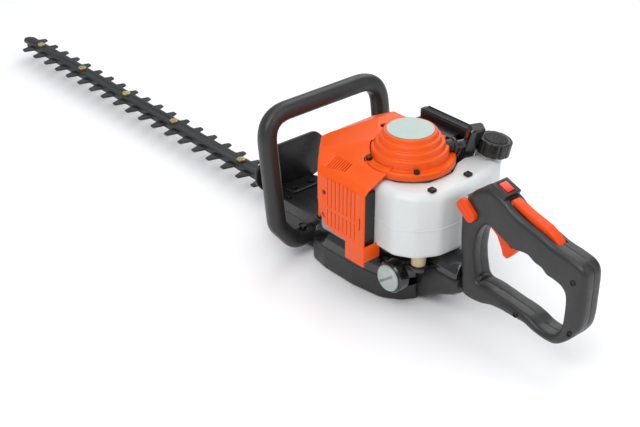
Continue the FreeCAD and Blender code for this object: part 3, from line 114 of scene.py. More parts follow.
FINISHES: dict[str, Finish] = {f.name: f for f in (
    Finish("blade_steel", "blade_steel", (0.040, 0.041, 0.042), Grain.GROUND, 0.42, 0.5, mottle=0.2,
           wear=0.1),
    Finish("bar_steel", "blade_steel", (0.022, 0.023, 0.024), Grain.GROUND, 0.42, 0.4, mottle=0.15,
           wear=0.08),
    Finish("zinc", "zinc_nuts", (0.62, 0.50, 0.24), Grain.GROUND, 0.32, 0.9, mottle=0.25),
    Finish("zinc_head", "zinc_screws", (0.60, 0.49, 0.26), Grain.GROUND, 0.34, 0.9, mottle=0.25),
    Finish("casting", "painted_casting", (0.010, 0.010, 0.011), Grain.CAST, 0.4, 0.1, coat=0.25),
    Finish("gear_steel", "gear_steel", (0.32, 0.32, 0.33), Grain.GROUND, 0.32, 0.95),
    Finish("cast_alloy", "cast_alloy", (0.56, 0.57, 0.58), Grain.CAST, 0.42, 0.9, mottle=0.2),
    Finish("pressed_steel", "pressed_steel", (0.30, 0.29, 0.28), Grain.GROUND, 0.42, 0.85, mottle=0.4),
    Finish("rubber", "soft_rubber", (0.012, 0.012, 0.013), Grain.RUBBER, 0.7),
    Finish("black_plastic", "black_plastic", (0.009, 0.009, 0.009), Grain.MOULDED, 0.34, coat=0.1),
    Finish("charcoal", "grip_black", (0.020, 0.020, 0.020), Grain.MOULDED, 0.36, mottle=0.1),
    Finish("grey", "grey_plastic", (0.036, 0.037, 0.041), Grain.MOULDED, 0.44, mottle=0.18),
    Finish("gloss_black", "gloss_black", (0.007, 0.007, 0.008), Grain.GLOSS, 0.16, coat=0.6, mottle=0.05),
    Finish("orange", "orange_plastic", (0.82, 0.090, 0.001), Grain.GLOSS, 0.38, coat=0.05, mottle=0.012),
    Finish("orange_lever", "orange_plastic", (0.78, 0.066, 0.002), Grain.MOULDED, 0.42, mottle=0.02),
    Finish("black_screw", "black_screws", (0.020, 0.020, 0.022), Grain.GROUND, 0.34, 0.6),
    Finish("label", "label_foil", (0.40, 0.49, 0.44), Grain.GLOSS, 0.4, coat=0.1, mottle=0.01),
    Finish("rope", "rope_fibre", (0.10, 0.10, 0.10), Grain.WOVEN, 0.8),
    Finish("tank", "tank_plastic", (0.66, 0.68, 0.67), Grain.MOULDED, 0.34, mottle=0.01, relief=0.4,
           subsurface=0.2),
    Finish("cups", "mount_cups", (0.60, 0.50, 0.28), Grain.RUBBER, 0.5),
    Finish("foam", "filter_foam", (0.10, 0.10, 0.09), Grain.FOAM, 0.9),
    Finish("bulb", "bulb_rubber", (0.42, 0.40, 0.34), Grain.RUBBER, 0.3, subsurface=0.2),
    Finish("plug", "plug_plastic", (0.42, 0.47, 0.45), Grain.MOULDED, 0.4, mottle=0.1),
    Finish("switch", "switch_red", (0.76, 0.035, 0.006), Grain.GLOSS, 0.3, coat=0.3),
)}


class Materials:
    """Builds each finish once, as a procedural node tree on Object coordinates."""

    # scale, detail, bump strength and bump distance in metres for each grain
    GRAINS = {
        Grain.MOULDED: (2600.0, 3.0, 0.22, 0.00010),
        Grain.GLOSS: (420.0, 2.0, 0.03, 0.00005),
        Grain.CAST: (900.0, 5.0, 0.45, 0.00025),
        Grain.GROUND: (700.0, 4.0, 0.12, 0.00008),
        Grain.RUBBER: (3200.0, 4.0, 0.30, 0.00010),
        Grain.FOAM: (1500.0, 6.0, 0.90, 0.00060),
        Grain.WOVEN: (1800.0, 2.0, 0.60, 0.00040),
    }

    def __init__(self) -> None:
        """Starts with no material made."""
        self._made: dict[str, Material] = {}

    def get(self, name: str) -> Material:
        """The material of a finish.

        Args:
            name: the finish's name in FINISHES.
        Returns:
            The material, built on the first call.
        """
        if name not in self._made:
            self._made[name] = self._build(FINISHES[name])
        return self._made[name]

    def _build(self, finish: Finish) -> Material:
        """Builds the node tree of one finish.

        Args:
            finish: the finish.
        Returns:
            The material.
        """
        material = bpy.data.materials.new(finish.name)
        material.use_nodes = True
        nodes, links = material.node_tree.nodes, material.node_tree.links
        where = nodes.new("ShaderNodeTexCoord").outputs["Object"]
        scale, detail, strength, distance = self.GRAINS[finish.grain]

        def feed(node: bpy.types.Node, values: dict[str, object]) -> None:
            """Sets or wires a node's inputs.

            Args:
                node: the node to feed.
                values: the inputs by name: a socket or a value.
            """
            for name, value in values.items():
                if isinstance(value, Socket):
                    links.new(value, node.inputs[name])
                else:
                    node.inputs[name].default_value = value

        def made(kind: str, out: str, values: dict[str, object]) -> Socket:
            """A new shader node, fed.

            Args:
                kind: the kind of node, without its prefix.
                out: the output's name.
                values: the inputs by name: a socket or a value.
            Returns:
                The output socket.
            """
            node = nodes.new("ShaderNode" + kind)
            if kind == "Mix":
                node.data_type = "RGBA"
            feed(node, values)
            return node.outputs[out]

        def noise(size: float, depth: float, stretch: Optional[Flat] = None) -> Socket:
            """Noise on Object coordinates.

            Args:
                size: the scale of the noise.
                depth: the detail of the noise.
                stretch: the factors along and across the grain, or none.
            Returns:
                The output socket.
            """
            source = made("Mapping", "Vector", {
                "Vector": where, "Scale": (stretch[0], stretch[1], stretch[1])}) if stretch else where
            return made("TexNoise", "Fac", {"Scale": size, "Detail": depth, "Vector": source})

        def ramp(source: Socket, low: float, high: float) -> Socket:
            """Spreads a noise between two values."""
            return made("MapRange", "Result", {"From Min": 0.3, "From Max": 0.7, "To Min": low,
                                               "To Max": high, "Value": source})

        dark = [c * (1 - finish.mottle) for c in finish.colour]
        light = [min(1.0, c * (1 + finish.mottle) + 0.004 * finish.mottle) for c in finish.colour]
        colour = made("Mix", "Result", {"A": (*dark, 1), "B": (*light, 1),
                                        "Factor": ramp(noise(38.0, 5.0), 0, 1)})
        if finish.wear:
            bare = [min(1.0, c * 4 + 0.05) for c in finish.colour]
            streaks = ramp(noise(90.0, 6.0, (0.6, 4.0)), -0.6 + finish.wear, finish.wear * 2)
            colour = made("Mix", "Result", {"A": colour, "B": (*bare, 1), "Factor": streaks})
        stretch = (0.12, 1.0) if finish.grain is Grain.GROUND else None
        shader = nodes["Principled BSDF"]
        feed(shader, {
            "Base Color": colour,
            "Roughness": ramp(noise(160.0, 4.0), max(0.02, finish.rough - 0.07), finish.rough + 0.09),
            "Normal": made("Bump", "Normal", {"Strength": strength * finish.relief, "Distance": distance,
                                              "Height": noise(scale, detail, stretch)}),
            "Metallic": finish.metallic,
            "Specular IOR Level": 0.3 if finish.slot == "orange_plastic" else 0.5})
        if finish.coat:
            feed(shader, {"Coat Weight": finish.coat, "Coat Roughness": 0.08})
        if finish.subsurface:
            feed(shader, {"Subsurface Weight": finish.subsurface,
                          "Subsurface Radius": (0.004, 0.003, 0.002)})
        return material


MATERIALS = Materials()


@dataclass(frozen=True)
class Box:
    """A CAD node's box at rest, in millimetres."""

    x0: float
    y0: float
    z0: float
    x1: float
    y1: float
    z1: float

    @classmethod
    def of(cls, node: str) -> "Box":
        """Reads the box of a CAD node."""
        low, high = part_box(node)
        return cls(*[round(v / MM, 3) for v in (*low, *high)])

    @property
    def middle(self) -> Vector:
        """The centre of the box."""
        return Vector(((self.x0 + self.x1) / 2, (self.y0 + self.y1) / 2, (self.z0 + self.z1) / 2))


def joint(name: str) -> dict:
    """A joint of the record by its name."""
    return next(j for j in frame["joints"] if j["name"] == name)


def anchor(name: str) -> Vector:
    """A joint's anchor point in millimetres."""
    return Vector(joint(name)["pos_m"]) / MM


# ------------------------------------------------------------------ outlines

class Outline(list):
    """A closed outline that remembers the corners and radii that it was rounded from."""

    corners: Sequence[Flat] = ()
    radii: Sequence[float] = ()
    steps: int = 6


def rounded(points: Sequence[Flat], radius: float | Sequence[float], steps: int = 6) -> Outline:
    """Rounds the corners of a closed outline.

    Args:
        points: the corners in order.
        radius: one radius, or one for each corner, in mm.
        steps: segments on each corner's arc.
    Returns:
        The outline with an arc at each corner, kept inside half of the shorter neighbouring edge.
    """
    radii = [radius] * len(points) if isinstance(radius, (int, float)) else list(radius)
    out = Outline()
    out.corners, out.radii, out.steps = list(points), radii, steps
    for i, corner in enumerate(points):
        here = Vector(corner)
        before, after = Vector(points[i - 1]) - here, Vector(points[(i + 1) % len(points)]) - here
        turn = before.angle(after, math.pi)
        if radii[i] < 0.05 or turn > math.pi - 0.02:
            out.append((here.x, here.y))
            continue
        setback = min(radii[i] / math.tan(turn / 2), 0.48 * before.length, 0.48 * after.length)
        first, last = here + before.normalized() * setback, here + after.normalized() * setback
        for k in range(steps + 1):
            t = k / steps
            p = first * (1 - t) ** 2 + here * (2 * t * (1 - t)) + last * t ** 2
            out.append((p.x, p.y))
    return out


def oblong(x: Flat, y: Flat) -> list[Flat]:
    """The four corners of a rectangle, counter-clockwise."""
    return [(x[0], y[0]), (x[1], y[0]), (x[1], y[1]), (x[0], y[1])]


def smooth_loop(points: Sequence[Flat], count: int) -> list[Flat]:
    """A closed Catmull-Rom curve through the points, at even steps of its parameter.

    Args:
        points: the points in order.
        count: how many points.
    Returns:
        The points of the curve.
    """
    total, out = len(points), []
    for k in range(count):
        i, t = divmod(k * total / count, 1)
        p0, p1, p2, p3 = (Vector(points[int(i + s) % total]) for s in (-1, 0, 1, 2))
        p = 0.5 * ((2 * p1) + (p2 - p0) * t + (2 * p0 - 5 * p1 + 4 * p2 - p3) * t * t
                   + (3 * p1 - p0 - 3 * p2 + p3) * t ** 3)
        out.append((p.x, p.y))
    return out


def inset(points: Sequence[Flat], by: float) -> list[Flat]:
    """Moves the edges of a closed outline inwards; the corners of a rounded one keep their centres.

    Args:
        points: the outline.
        by: the distance in mm.
    Returns:
        The outline, moved.
    """
    if isinstance(points, Outline):
        corners = inset(points.corners, by)
        wind = winding(points.corners)
        radii = []
        for i, corner in enumerate(points.corners):
            way_in = Vector(corner) - Vector(points.corners[i - 1])
            way_out = Vector(points.corners[(i + 1) % len(corners)]) - Vector(corner)
            hollow = way_in.cross(way_out) * wind < 0
            radii.append(max(0.3, points.radii[i] + (by if hollow else -by)))
        return rounded(corners, radii, points.steps)
    out, wind = [], winding(points)
    for i, corner in enumerate(points):
        here = Vector(corner)
        way_in = (here - Vector(points[i - 1])).normalized()
        way_out = (Vector(points[(i + 1) % len(points)]) - here).normalized()
        side = Vector((-way_in.y - way_out.y, way_in.x + way_out.x))
        if side.length < 1e-6:
            side = Vector((-way_in.y, way_in.x))
        side.normalize()
        lean = max(0.45, side.dot(Vector((-way_in.y, way_in.x))))
        out.append(tuple(here + side * (wind * by / lean)))
    return out


def winding(points: Sequence[Flat]) -> int:
    """1 for a counter-clockwise outline, otherwise -1."""
    area = sum(a[0] * b[1] - b[0] * a[1] for a, b in zip(points, list(points[1:]) + [points[0]]))
    return 1 if area > 0 else -1


def fillets(low: float, high: float, below: float, above: float, steps: int = 5) -> list[Flat]:
    """Levels and insets of a block whose lower and upper rims are rounded.

    Args:
        low: the bottom level.
        high: the top level.
        below: the radius of the lower rim.
        above: the radius of the upper rim.
        steps: segments on each rim.
    Returns:
        Pairs of level and inset from the bottom up.
    """
    quarter = [i * math.pi / 2 / steps for i in range(steps + 1)]
    start = [(low + below * (1 - math.sin(a)), below * (1 - math.cos(a))) for a in reversed(quarter)]
    end = [(high - above * (1 - math.sin(a)), above * (1 - math.cos(a))) for a in quarter]
    return start + end


# ------------------------------------------------------------------ meshes

def placed(name: str, data: bpy.types.ID) -> Thing:
    """A new object in the scene that holds a mesh, a light or a camera.

    Args:
        name: the object's name.
        data: the mesh, light or camera.
    Returns:
        The new object.
    """
    thing = bpy.data.objects.new(name, data)
    bpy.context.scene.collection.objects.link(thing)
    return thing


def mesh(name: str, points: Sequence[Sequence[float]], faces: Sequence[Sequence[int]]) -> Thing:
    """A mesh object from points in millimetres, with its normals turned outwards.

    Args:
        name: the object's name.
        points: the points in mm.
        faces: the indices of the points round each face.
    Returns:
        The mesh object.
    """
    data = bpy.data.meshes.new(name)
    data.from_pydata([[c * MM for c in p] for p in points], [], faces)
    work = bmesh.new()
    work.from_mesh(data)
    bmesh.ops.recalc_face_normals(work, faces=work.faces)
    work.to_mesh(data)
    work.free()
    return placed(name, data)


def lift(plane: Plane, spot: Flat, level: float) -> tuple[float, float, float]:
    """A point of an outline in space: the plane's two coordinates and the level across it."""
    a, b = spot
    return {Plane.XY: (a, b, level), Plane.XZ: (a, level, b), Plane.YZ: (level, a, b)}[plane]


def stack(name: str, plane: Plane, loops: Sequence[tuple[float, Sequence[Flat]]]) -> Thing:
    """A closed solid through outlines of equal count at rising levels.

    Args:
        name: the object's name.
        plane: the plane of the outlines.
        loops: pairs of level and outline, rising.
    Returns:
        The mesh object.
    """
    count = len(loops[0][1])
    points = [lift(plane, spot, level) for level, outline in loops for spot in outline]
    faces: list[list[int]] = [list(range(count))[::-1], list(range(len(points) - count, len(points)))]
    for k in range(len(loops) - 1):
        for i in range(count):
            j = (i + 1) % count
            faces.append([k * count + i, k * count + j, (k + 1) * count + j, (k + 1) * count + i])
    return mesh(name, points, faces)


def prism(name: str, plane: Plane, outline: Sequence[Flat], low: float, high: float) -> Thing:
    """A straight block over an outline between two levels."""
    return stack(name, plane, [(low, outline), (high, outline)])


def soft_block(name: str, plane: Plane, outline: Sequence[Flat], levels: Sequence[Flat]) -> Thing:
    """A block whose outline is inset by an amount at each level."""
    return stack(name, plane, [(level, inset(outline, by)) for level, by in levels])


def block(name: str, x: Flat, y: Flat, z: Flat) -> Thing:
    """A plain box between two corners."""
    return prism(name, Plane.XY, oblong(x, y), *z)


def lathe(name: str, profile: Sequence[Flat], centre: Sequence[float], axis: Vector = UP,
          count: int = 96, wave: Optional[Callable[[float, float], float]] = None) -> Thing:
    """A solid turned about an axis.

    Args:
        name: the object's name.
        profile: radius and height along the axis, closed on itself or ending on the axis.
        centre: the axis' foot in mm.
        axis: the direction of the axis.
        count: segments round it.
        wave: adds to the radius from the angle and the radius, for notches.
    Returns:
        The mesh object.
    """
    turn = UP.rotation_difference(axis.normalized()).to_matrix()
    points: list[Vector] = []
    rows: list[list[int]] = []
    for radius, height in profile:
        row = []
        for k in range(count if radius > 1e-6 else 1):
            angle = 2 * math.pi * k / count
            reach = radius + (wave(angle, radius) if wave and radius > 1e-6 else 0.0)
            row.append(len(points))
            spot = Vector((reach * math.cos(angle), reach * math.sin(angle), height))
            points.append(Vector(centre) + turn @ spot)
        rows.append(row)
    faces = []
    closing = [] if len(rows[0]) == 1 or len(rows[-1]) == 1 else [(rows[-1], rows[0])]
    for low, high in list(zip(rows, rows[1:])) + closing:
        for k in range(count):
            a, b = low[k % len(low)], low[(k + 1) % len(low)]
            c, d = high[(k + 1) % len(high)], high[k % len(high)]
            face = [v for v, n in zip((a, b, c, d), (None, a, b, c)) if v != n]
            if len(set(face)) >= 3:
                faces.append(list(dict.fromkeys(face)))
    return mesh(name, points, faces)


def bore(name: str, radius: float, low: float, high: float, centre: Sequence[float], axis: Vector = UP,
         count: int = 96) -> Thing:
    """A plain cylinder between two heights along an axis."""
    return lathe(name, [(0, low), (radius, low), (radius, high), (0, high)], centre, axis, count)


def tube(name: str, path: Sequence[Vector], section: Callable[[float, float], Flat],
         around: int = 32) -> Thing:
    """A bar swept along a path: section gives a point across it from its angle and the share of the path.

    Args:
        name: the object's name.
        path: the points along its middle, in mm.
        section: gives a point across the bar from its angle and the share of the path.
        around: points round each cross-section.
    Returns:
        The mesh object.
    """
    points, side = [], None
    for i, spot in enumerate(path):
        way = (path[min(i + 1, len(path) - 1)] - path[max(i - 1, 0)]).normalized()
        side = UP.cross(way).normalized() if side is None else (side - way * side.dot(way)).normalized()
        top = way.cross(side)
        for k in range(around):
            a, b = section(2 * math.pi * k / around, i / (len(path) - 1))
            points.append(spot + side * a + top * b)
    faces = [list(range(around))[::-1], list(range(len(points) - around, len(points)))]
    for i in range(len(path) - 1):
        for k in range(around):
            j = (k + 1) % around
            faces.append([i * around + k, i * around + j, (i + 1) * around + j, (i + 1) * around + k])
    return mesh(name, points, faces)


def squarish(angle: float, power: float) -> Flat:
    """A point of a unit ring between a circle and a square.

    Args:
        angle: the angle in radians.
        power: 2 for a circle, more for squarer.
    Returns:
        The point.
    """
    c, s = math.cos(angle), math.sin(angle)
    square = 1 / (abs(c) ** power + abs(s) ** power) ** (1 / power)
    return c * square, s * square


def bake(thing: Thing) -> Thing:
    """Applies all modifiers of an object.

    Args:
        thing: the object.
    Returns:
        The same object.
    """
    bpy.context.view_layer.update()
    ready = thing.evaluated_get(bpy.context.evaluated_depsgraph_get())
    data, old = bpy.data.meshes.new_from_object(ready), thing.data
    thing.modifiers.clear()
    thing.data = data
    bpy.data.meshes.remove(old)
    return thing


def discard(thing: Thing) -> None:
    """Removes an object and its mesh.

    Args:
        thing: the object.
    """
    data = thing.data
    bpy.data.objects.remove(thing)
    bpy.data.meshes.remove(data)


def boolean(thing: Thing, tools: Sequence[Thing], kind: str = "DIFFERENCE") -> Thing:
    """Cuts, joins or intersects a solid with others, which are used up.

    Args:
        thing: the object.
        tools: the other solids.
        kind: DIFFERENCE, UNION or INTERSECT.
    Returns:
        The same object.
    """
    for tool in tools:
        step = thing.modifiers.new("Solid", "BOOLEAN")
        step.operation, step.object, step.solver = kind, tool, "EXACT"
        bake(thing)
        discard(tool)
    return thing


def soften(thing: Thing, width: float, steps: int = 3, angle: float = 30) -> Thing:
    """Rounds the edges of a solid that are sharper than an angle in degrees.

    Args:
        thing: the object.
        width: the radius of the edges in mm.
        steps: segments on each edge.
        angle: edges sharper than this are rounded, in degrees.
    Returns:
        The same object.
    """
    work = bmesh.new()
    work.from_mesh(thing.data)
    bmesh.ops.remove_doubles(work, verts=work.verts, dist=2e-6)
    bmesh.ops.dissolve_limit(work, angle_limit=math.radians(1.0), verts=work.verts, edges=work.edges)
    work.to_mesh(thing.data)
    work.free()
    round_off = thing.modifiers.new("Round", "BEVEL")
    round_off.width, round_off.segments = width * MM, steps
    round_off.limit_method, round_off.angle_limit = "ANGLE", math.radians(angle)
    round_off.use_clamp_overlap, round_off.harden_normals = True, False
    return bake(thing)


def turned(thing: Thing, matrix: Matrix) -> Thing:
    """Moves a mesh's own points, so that its object stays at the origin."""
    thing.data.transform(matrix)
    return thing


def at(x: float, y: float, z: float) -> Matrix:
    """A shift in millimetres."""
    return Matrix.Translation(Vector((x, y, z)) * MM)


def spun(degrees: float, axis: str) -> Matrix:
    """A turn about one of the frame's axes."""
    return Matrix.Rotation(math.radians(degrees), 4, axis)


def joined(name: str, things: Sequence[Thing]) -> Thing:
    """Puts several meshes into one object, keeping their materials.

    Args:
        name: the object's name.
        things: the objects, used up.
    Returns:
        The new object.
    """
    work, slots = bmesh.new(), []
    for thing in things:
        shift = {}
        for i, material in enumerate(thing.data.materials):
            if material not in slots:
                slots.append(material)
            shift[i] = slots.index(material)
        start = len(work.faces)
        work.from_mesh(thing.data)
        work.faces.ensure_lookup_table()
        for face in work.faces[start:]:
            face.material_index = shift.get(face.material_index, 0)
    data = bpy.data.meshes.new(name)
    work.to_mesh(data)
    work.free()
    for material in slots:
        data.materials.append(material)
    for thing in things:
        discard(thing)
    return placed(name, data)


# ------------------------------------------------------------------ geometry nodes

def row_tree() -> Tree:
    """The geometry tree that repeats a piece in a straight row.

    Returns:
        A tree with named inputs for the piece, the row, the seed and the finish.
    """
    tree = bpy.data.node_groups.new("RowOf", "GeometryNodeTree")
    for label, kind in (("Geometry", "Geometry"), ("Piece", "Object"), ("Count", "Int"), ("Start", "Vector"),
                        ("Step", "Vector"), ("Seed", "Int"), ("Finish", "Material")):
        tree.interface.new_socket(label, in_out="INPUT", socket_type="NodeSocket" + kind)
    tree.interface.new_socket("Geometry", in_out="OUTPUT", socket_type="NodeSocketGeometry")
    entry = {socket.name: socket for socket in tree.nodes.new("NodeGroupInput").outputs if socket.name}
    line, info, copies, real, painted = (tree.nodes.new("GeometryNode" + kind) for kind in (
        "MeshLine", "ObjectInfo", "InstanceOnPoints", "RealizeInstances", "SetMaterial"))
    size = tree.nodes.new("FunctionNodeRandomValue")
    size.data_type = "FLOAT"
    size.inputs[2].default_value, size.inputs[3].default_value = 0.997, 1.003
    for out, into in ((entry["Count"], line.inputs["Count"]), (entry["Start"], line.inputs["Start Location"]),
                      (entry["Step"], line.inputs["Offset"]), (entry["Piece"], info.inputs["Object"]),
                      (line.outputs["Mesh"], copies.inputs["Points"]),
                      (info.outputs["Geometry"], copies.inputs["Instance"]),
                      (entry["Seed"], size.inputs["Seed"]), (size.outputs[1], copies.inputs["Scale"]),
                      (copies.outputs["Instances"], real.inputs["Geometry"]),
                      (real.outputs["Geometry"], painted.inputs["Geometry"]),
                      (entry["Finish"], painted.inputs["Material"]),
                      (painted.outputs["Geometry"], tree.nodes.new("NodeGroupOutput").inputs["Geometry"])):
        tree.links.new(out, into)
    return tree


ROW = row_tree()


def repeated(name: str, piece: Thing, count: int, start: Sequence[float], step: Sequence[float],
             finish: str) -> Thing:
    """Repeats a piece with the geometry-nodes tree and makes the result a plain mesh.

    Args:
        name: the new object's name.
        piece: the piece to repeat, used up.
        count: how many copies.
        start: where the first copy's origin goes, in mm.
        step: the shift to the next copy in mm.
        finish: the finish of the copies.
    Returns:
        The mesh of all copies.
    """
    made = mesh(name, [(0, 0, 0)], [])
    made.data.materials.append(MATERIALS.get(finish))
    grow = made.modifiers.new("Repeat", "NODES")
    grow.node_group = ROW
    values = {"Piece": piece, "Count": count, "Start": tuple(v * MM for v in start), "Seed": 7,
              "Step": tuple(v * MM for v in step), "Finish": MATERIALS.get(finish)}
    for item in ROW.interface.items_tree:
        if item.in_out == "INPUT" and item.name in values:
            grow[item.identifier] = values[item.name]
    bake(made)
    discard(piece)
    return made


# ------------------------------------------------------------------ assemblies

class Assembly:
    """A group of pieces that are modelled together."""

    def build(self) -> None:
        """Makes the pieces of this group."""
        raise NotImplementedError

    def add(self, thing: Thing, body: str, finish: str, stands_for: Sequence[str] = (),
            angle: float = 32) -> Thing:
        """Finishes a piece: its material, shading and body.

        Args:
            thing: the mesh object.
            body: the CAD body that it rides on.
            finish: the finish's name, for faces that have none yet.
            stands_for: the CAD nodes that it replaces.
            angle: edges sharper than this stay sharp, in degrees.
        Returns:
            The same object.
        """
        if not thing.data.materials:
            thing.data.materials.append(MATERIALS.get(finish))
        thing.data.polygons.foreach_set("use_smooth", [True] * len(thing.data.polygons))
        thing.data.set_sharp_from_angle(angle=math.radians(angle))
        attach(thing, body)
        if stands_for:
            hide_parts(*stands_for)
        log.info("%s: %s on %s, %d faces", type(self).__name__, thing.name, body, len(thing.data.polygons))
        return thing

    def keep(self, node: str, finish: str) -> None:
        """Shows a CAD node as it is, with a finish.

        Args:
            node: the CAD node.
            finish: the finish's name.
        """
        thing = frame["nodes"][node]
        thing.data.materials.clear()
        thing.data.materials.append(MATERIALS.get(finish))
        log.info("%s: kept %s as %s", type(self).__name__, node, finish)

    def eased(self, node: str, finish: str, width: float = 0.6, steps: int = 2, angle: float = 30) -> Thing:
        """Stands a copy with rounded edges in for a CAD node.

        Args:
            node: the CAD node.
            finish: the finish's name.
            width: the radius of the edges in mm.
            steps: segments on each edge.
            angle: edges sharper than this are rounded, in degrees.
        Returns:
            The new piece.
        """
        source = frame["nodes"][node]
        copy = placed("eased_" + node, source.data.copy())
        copy.data.materials.clear()
        if copy.data.has_custom_normals:
            with bpy.context.temp_override(object=copy, active_object=copy, selected_objects=[copy]):
                bpy.ops.mesh.customdata_custom_splitnormals_clear()
        soften(copy, width, steps, angle)
        return self.add(copy, source["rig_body"], finish, [node], 40)


@dataclass
class Blade(Assembly):
    """The two knives, the bar over them and the bolts that hold them together."""

    pitch: float = 35.0
    teeth: int = 19
    root: float = 8.5
    tip: float = 3.2
    stagger: float = 15.0
    first: float = 22.0
    strip_half: float = 10.0
    foot: float = 9.0
    longest: float = 27.0
    yoke_half: float = 29.3
    window: Flat = (15.1, 22.3)
    slot_half: Flat = (13.5, 4.2)
    bolt_step: float = 130.0
    nut_half: float = 6.5

    def tooth(self, side: int, low: float, high: float, reach: float, ground_top: bool) -> Thing:
        """One tooth pointing to a side, its flanks ground on one face.

        Args:
            side: 1 or -1, the side that it is on.
            low: the lower level in mm.
            high: the upper level in mm.
            reach: how far its tip stands from the middle, in mm.
            ground_top: whether its upper face is the ground one.
        Returns:
            The tooth at the origin.
        """
        outline = [(-self.root, self.foot * side), (self.root, self.foot * side), (self.tip, reach * side),
                   (-self.tip, reach * side)]
        worn = [(-self.root + 1.6, self.foot * side), (self.root - 1.6, self.foot * side),
                (self.tip - 1.3, (reach - 1.4) * side), (1.3 - self.tip, (reach - 1.4) * side)]
        middle = low + (high - low) * 0.4 if ground_top else high - (high - low) * 0.4
        loops = [(low, outline), (middle, outline), (high, worn)] if ground_top else [
            (low, worn), (middle, outline), (high, outline)]
        made = stack("tooth", Plane.XY, loops)
        made.data.materials.append(MATERIALS.get("blade_steel"))
        return made

    def knife(self, node: str, body: str, ground_top: bool) -> None:
        """A knife: strip with its yoke and slots, and a row of teeth on each side.

        Args:
            node: the CAD node.
            body: the CAD body that it rides on.
            ground_top: whether its upper face is the ground one.
        """
        b = Box.of(node)
        yoke = Box.of("drive_gear")
        middle = (yoke.x0 + yoke.x1) / 2
        wide, tall = b.x1 - middle, self.yoke_half
        (across, along), (long, narrow) = self.window, self.slot_half
        outline = [(b.x0, -7), (b.x0 + 5, -self.strip_half), (middle - wide, -self.strip_half),
                   (middle - wide, -tall), (middle + wide, -tall), (middle + wide, tall),
                   (middle - wide, tall), (middle - wide, self.strip_half), (b.x0 + 5, self.strip_half),
                   (b.x0, 7)]
        strip = prism(body + "_strip", Plane.XY, outline, b.z0, b.z1)
        window = block("window", (middle - across, middle + across), (-along, along), (b.z0 - 1, b.z1 + 1))
        slots = [prism("slot", Plane.XY, rounded(oblong((x - long, x + long), (-narrow, narrow)), 4.1, 4),
                       b.z0 - 1, b.z1 + 1) for x in self.bolt_spots()]
        boolean(strip, [window, *slots])
        soften(strip, 0.3, 1, 40)
        strip.data.materials.append(MATERIALS.get("blade_steel"))
        reach = min(b.y1 - 0.2, self.longest)
        first = b.x0 + self.first
        rows = [repeated(name, self.tooth(side, b.z0, b.z1, reach, ground_top), self.teeth, (start, 0, 0),
                         (self.pitch, 0, 0), "blade_steel")
                for name, side, start in (("near", -1, first), ("far", 1, first - self.stagger))]
        self.add(joined(node + "_steel", [strip, *rows]), body, "blade_steel", [node], 20)

    def bolt_spots(self) -> list[float]:
        """Where the bolts stand along the bar, from the front."""
        b = Box.of("blade_nuts")
        return [b.x0 + self.nut_half + k * self.bolt_step for k in range(4)] + [b.x1 - self.nut_half]

    def build(self) -> None:
        """Makes the knives, the bar and the bolts."""
        self.knife("upper_knife", "upper_blade", True)
        self.knife("lower_knife", "lower_blade", False)
        self.eased("guide_bar", "bar_steel", 0.5, 2)
        self.eased("blade_nuts", "zinc", 0.7, 2)
        self.eased("blade_bolts", "zinc_head", 0.5, 2)


@dataclass
class GearCase(Assembly):
    """The painted gear case at the foot of the blade and what runs in it."""

    def build(self) -> None:
        """Makes the case and shows what runs in it."""
        self.eased("gear_case_lower", "casting", 1.2, 3)
        self.eased("gear_case_upper", "casting", 1.4, 3)
        for node in ("drive_gear", "drive_cams", "clutch_drum", "clutch_rotor", "gear_axle"):
            self.keep(node, "gear_steel")
        self.keep("clutch_housing", "cast_alloy")
        top = Box.of("gear_case_upper")
        ring = [(0, 0), (3.6, 0), (3.9, 0.4), (3.9, 3.2), (3.4, 3.8), (2.4, 3.8), (2.2, 2.2), (0, 2.2)]
        for i, (x, y) in enumerate([(top.x0 + 45, 33), (top.x0 + 45, -33), (top.x0 + 110, 35),
                                    (top.x0 + 110, -35)]):
            self.add(lathe(f"case_screw_head_{i}", ring, (x, y, top.z1 - 0.3), count=32), "chassis",
                     "black_screw")


@dataclass
class Engine(Assembly):
    """Crankcase, cylinder, fan and muffler, seen only through the gaps of the covers."""

    def build(self) -> None:
        """Shows the engine and eases the muffler."""
        for node in ("crankcase", "cylinder", "fan_housing", "intake_flange"):
            self.keep(node, "cast_alloy")
        for node in ("shaft_bearings", "crankshaft", "piston", "spark_plug"):
            self.keep(node, "gear_steel")
        self.keep("flywheel", "cast_alloy")
        self.keep("plug_boot", "rubber")
        self.keep("ignition_coil", "black_plastic")
        self.eased("muffler", "pressed_steel", 1.0, 2)


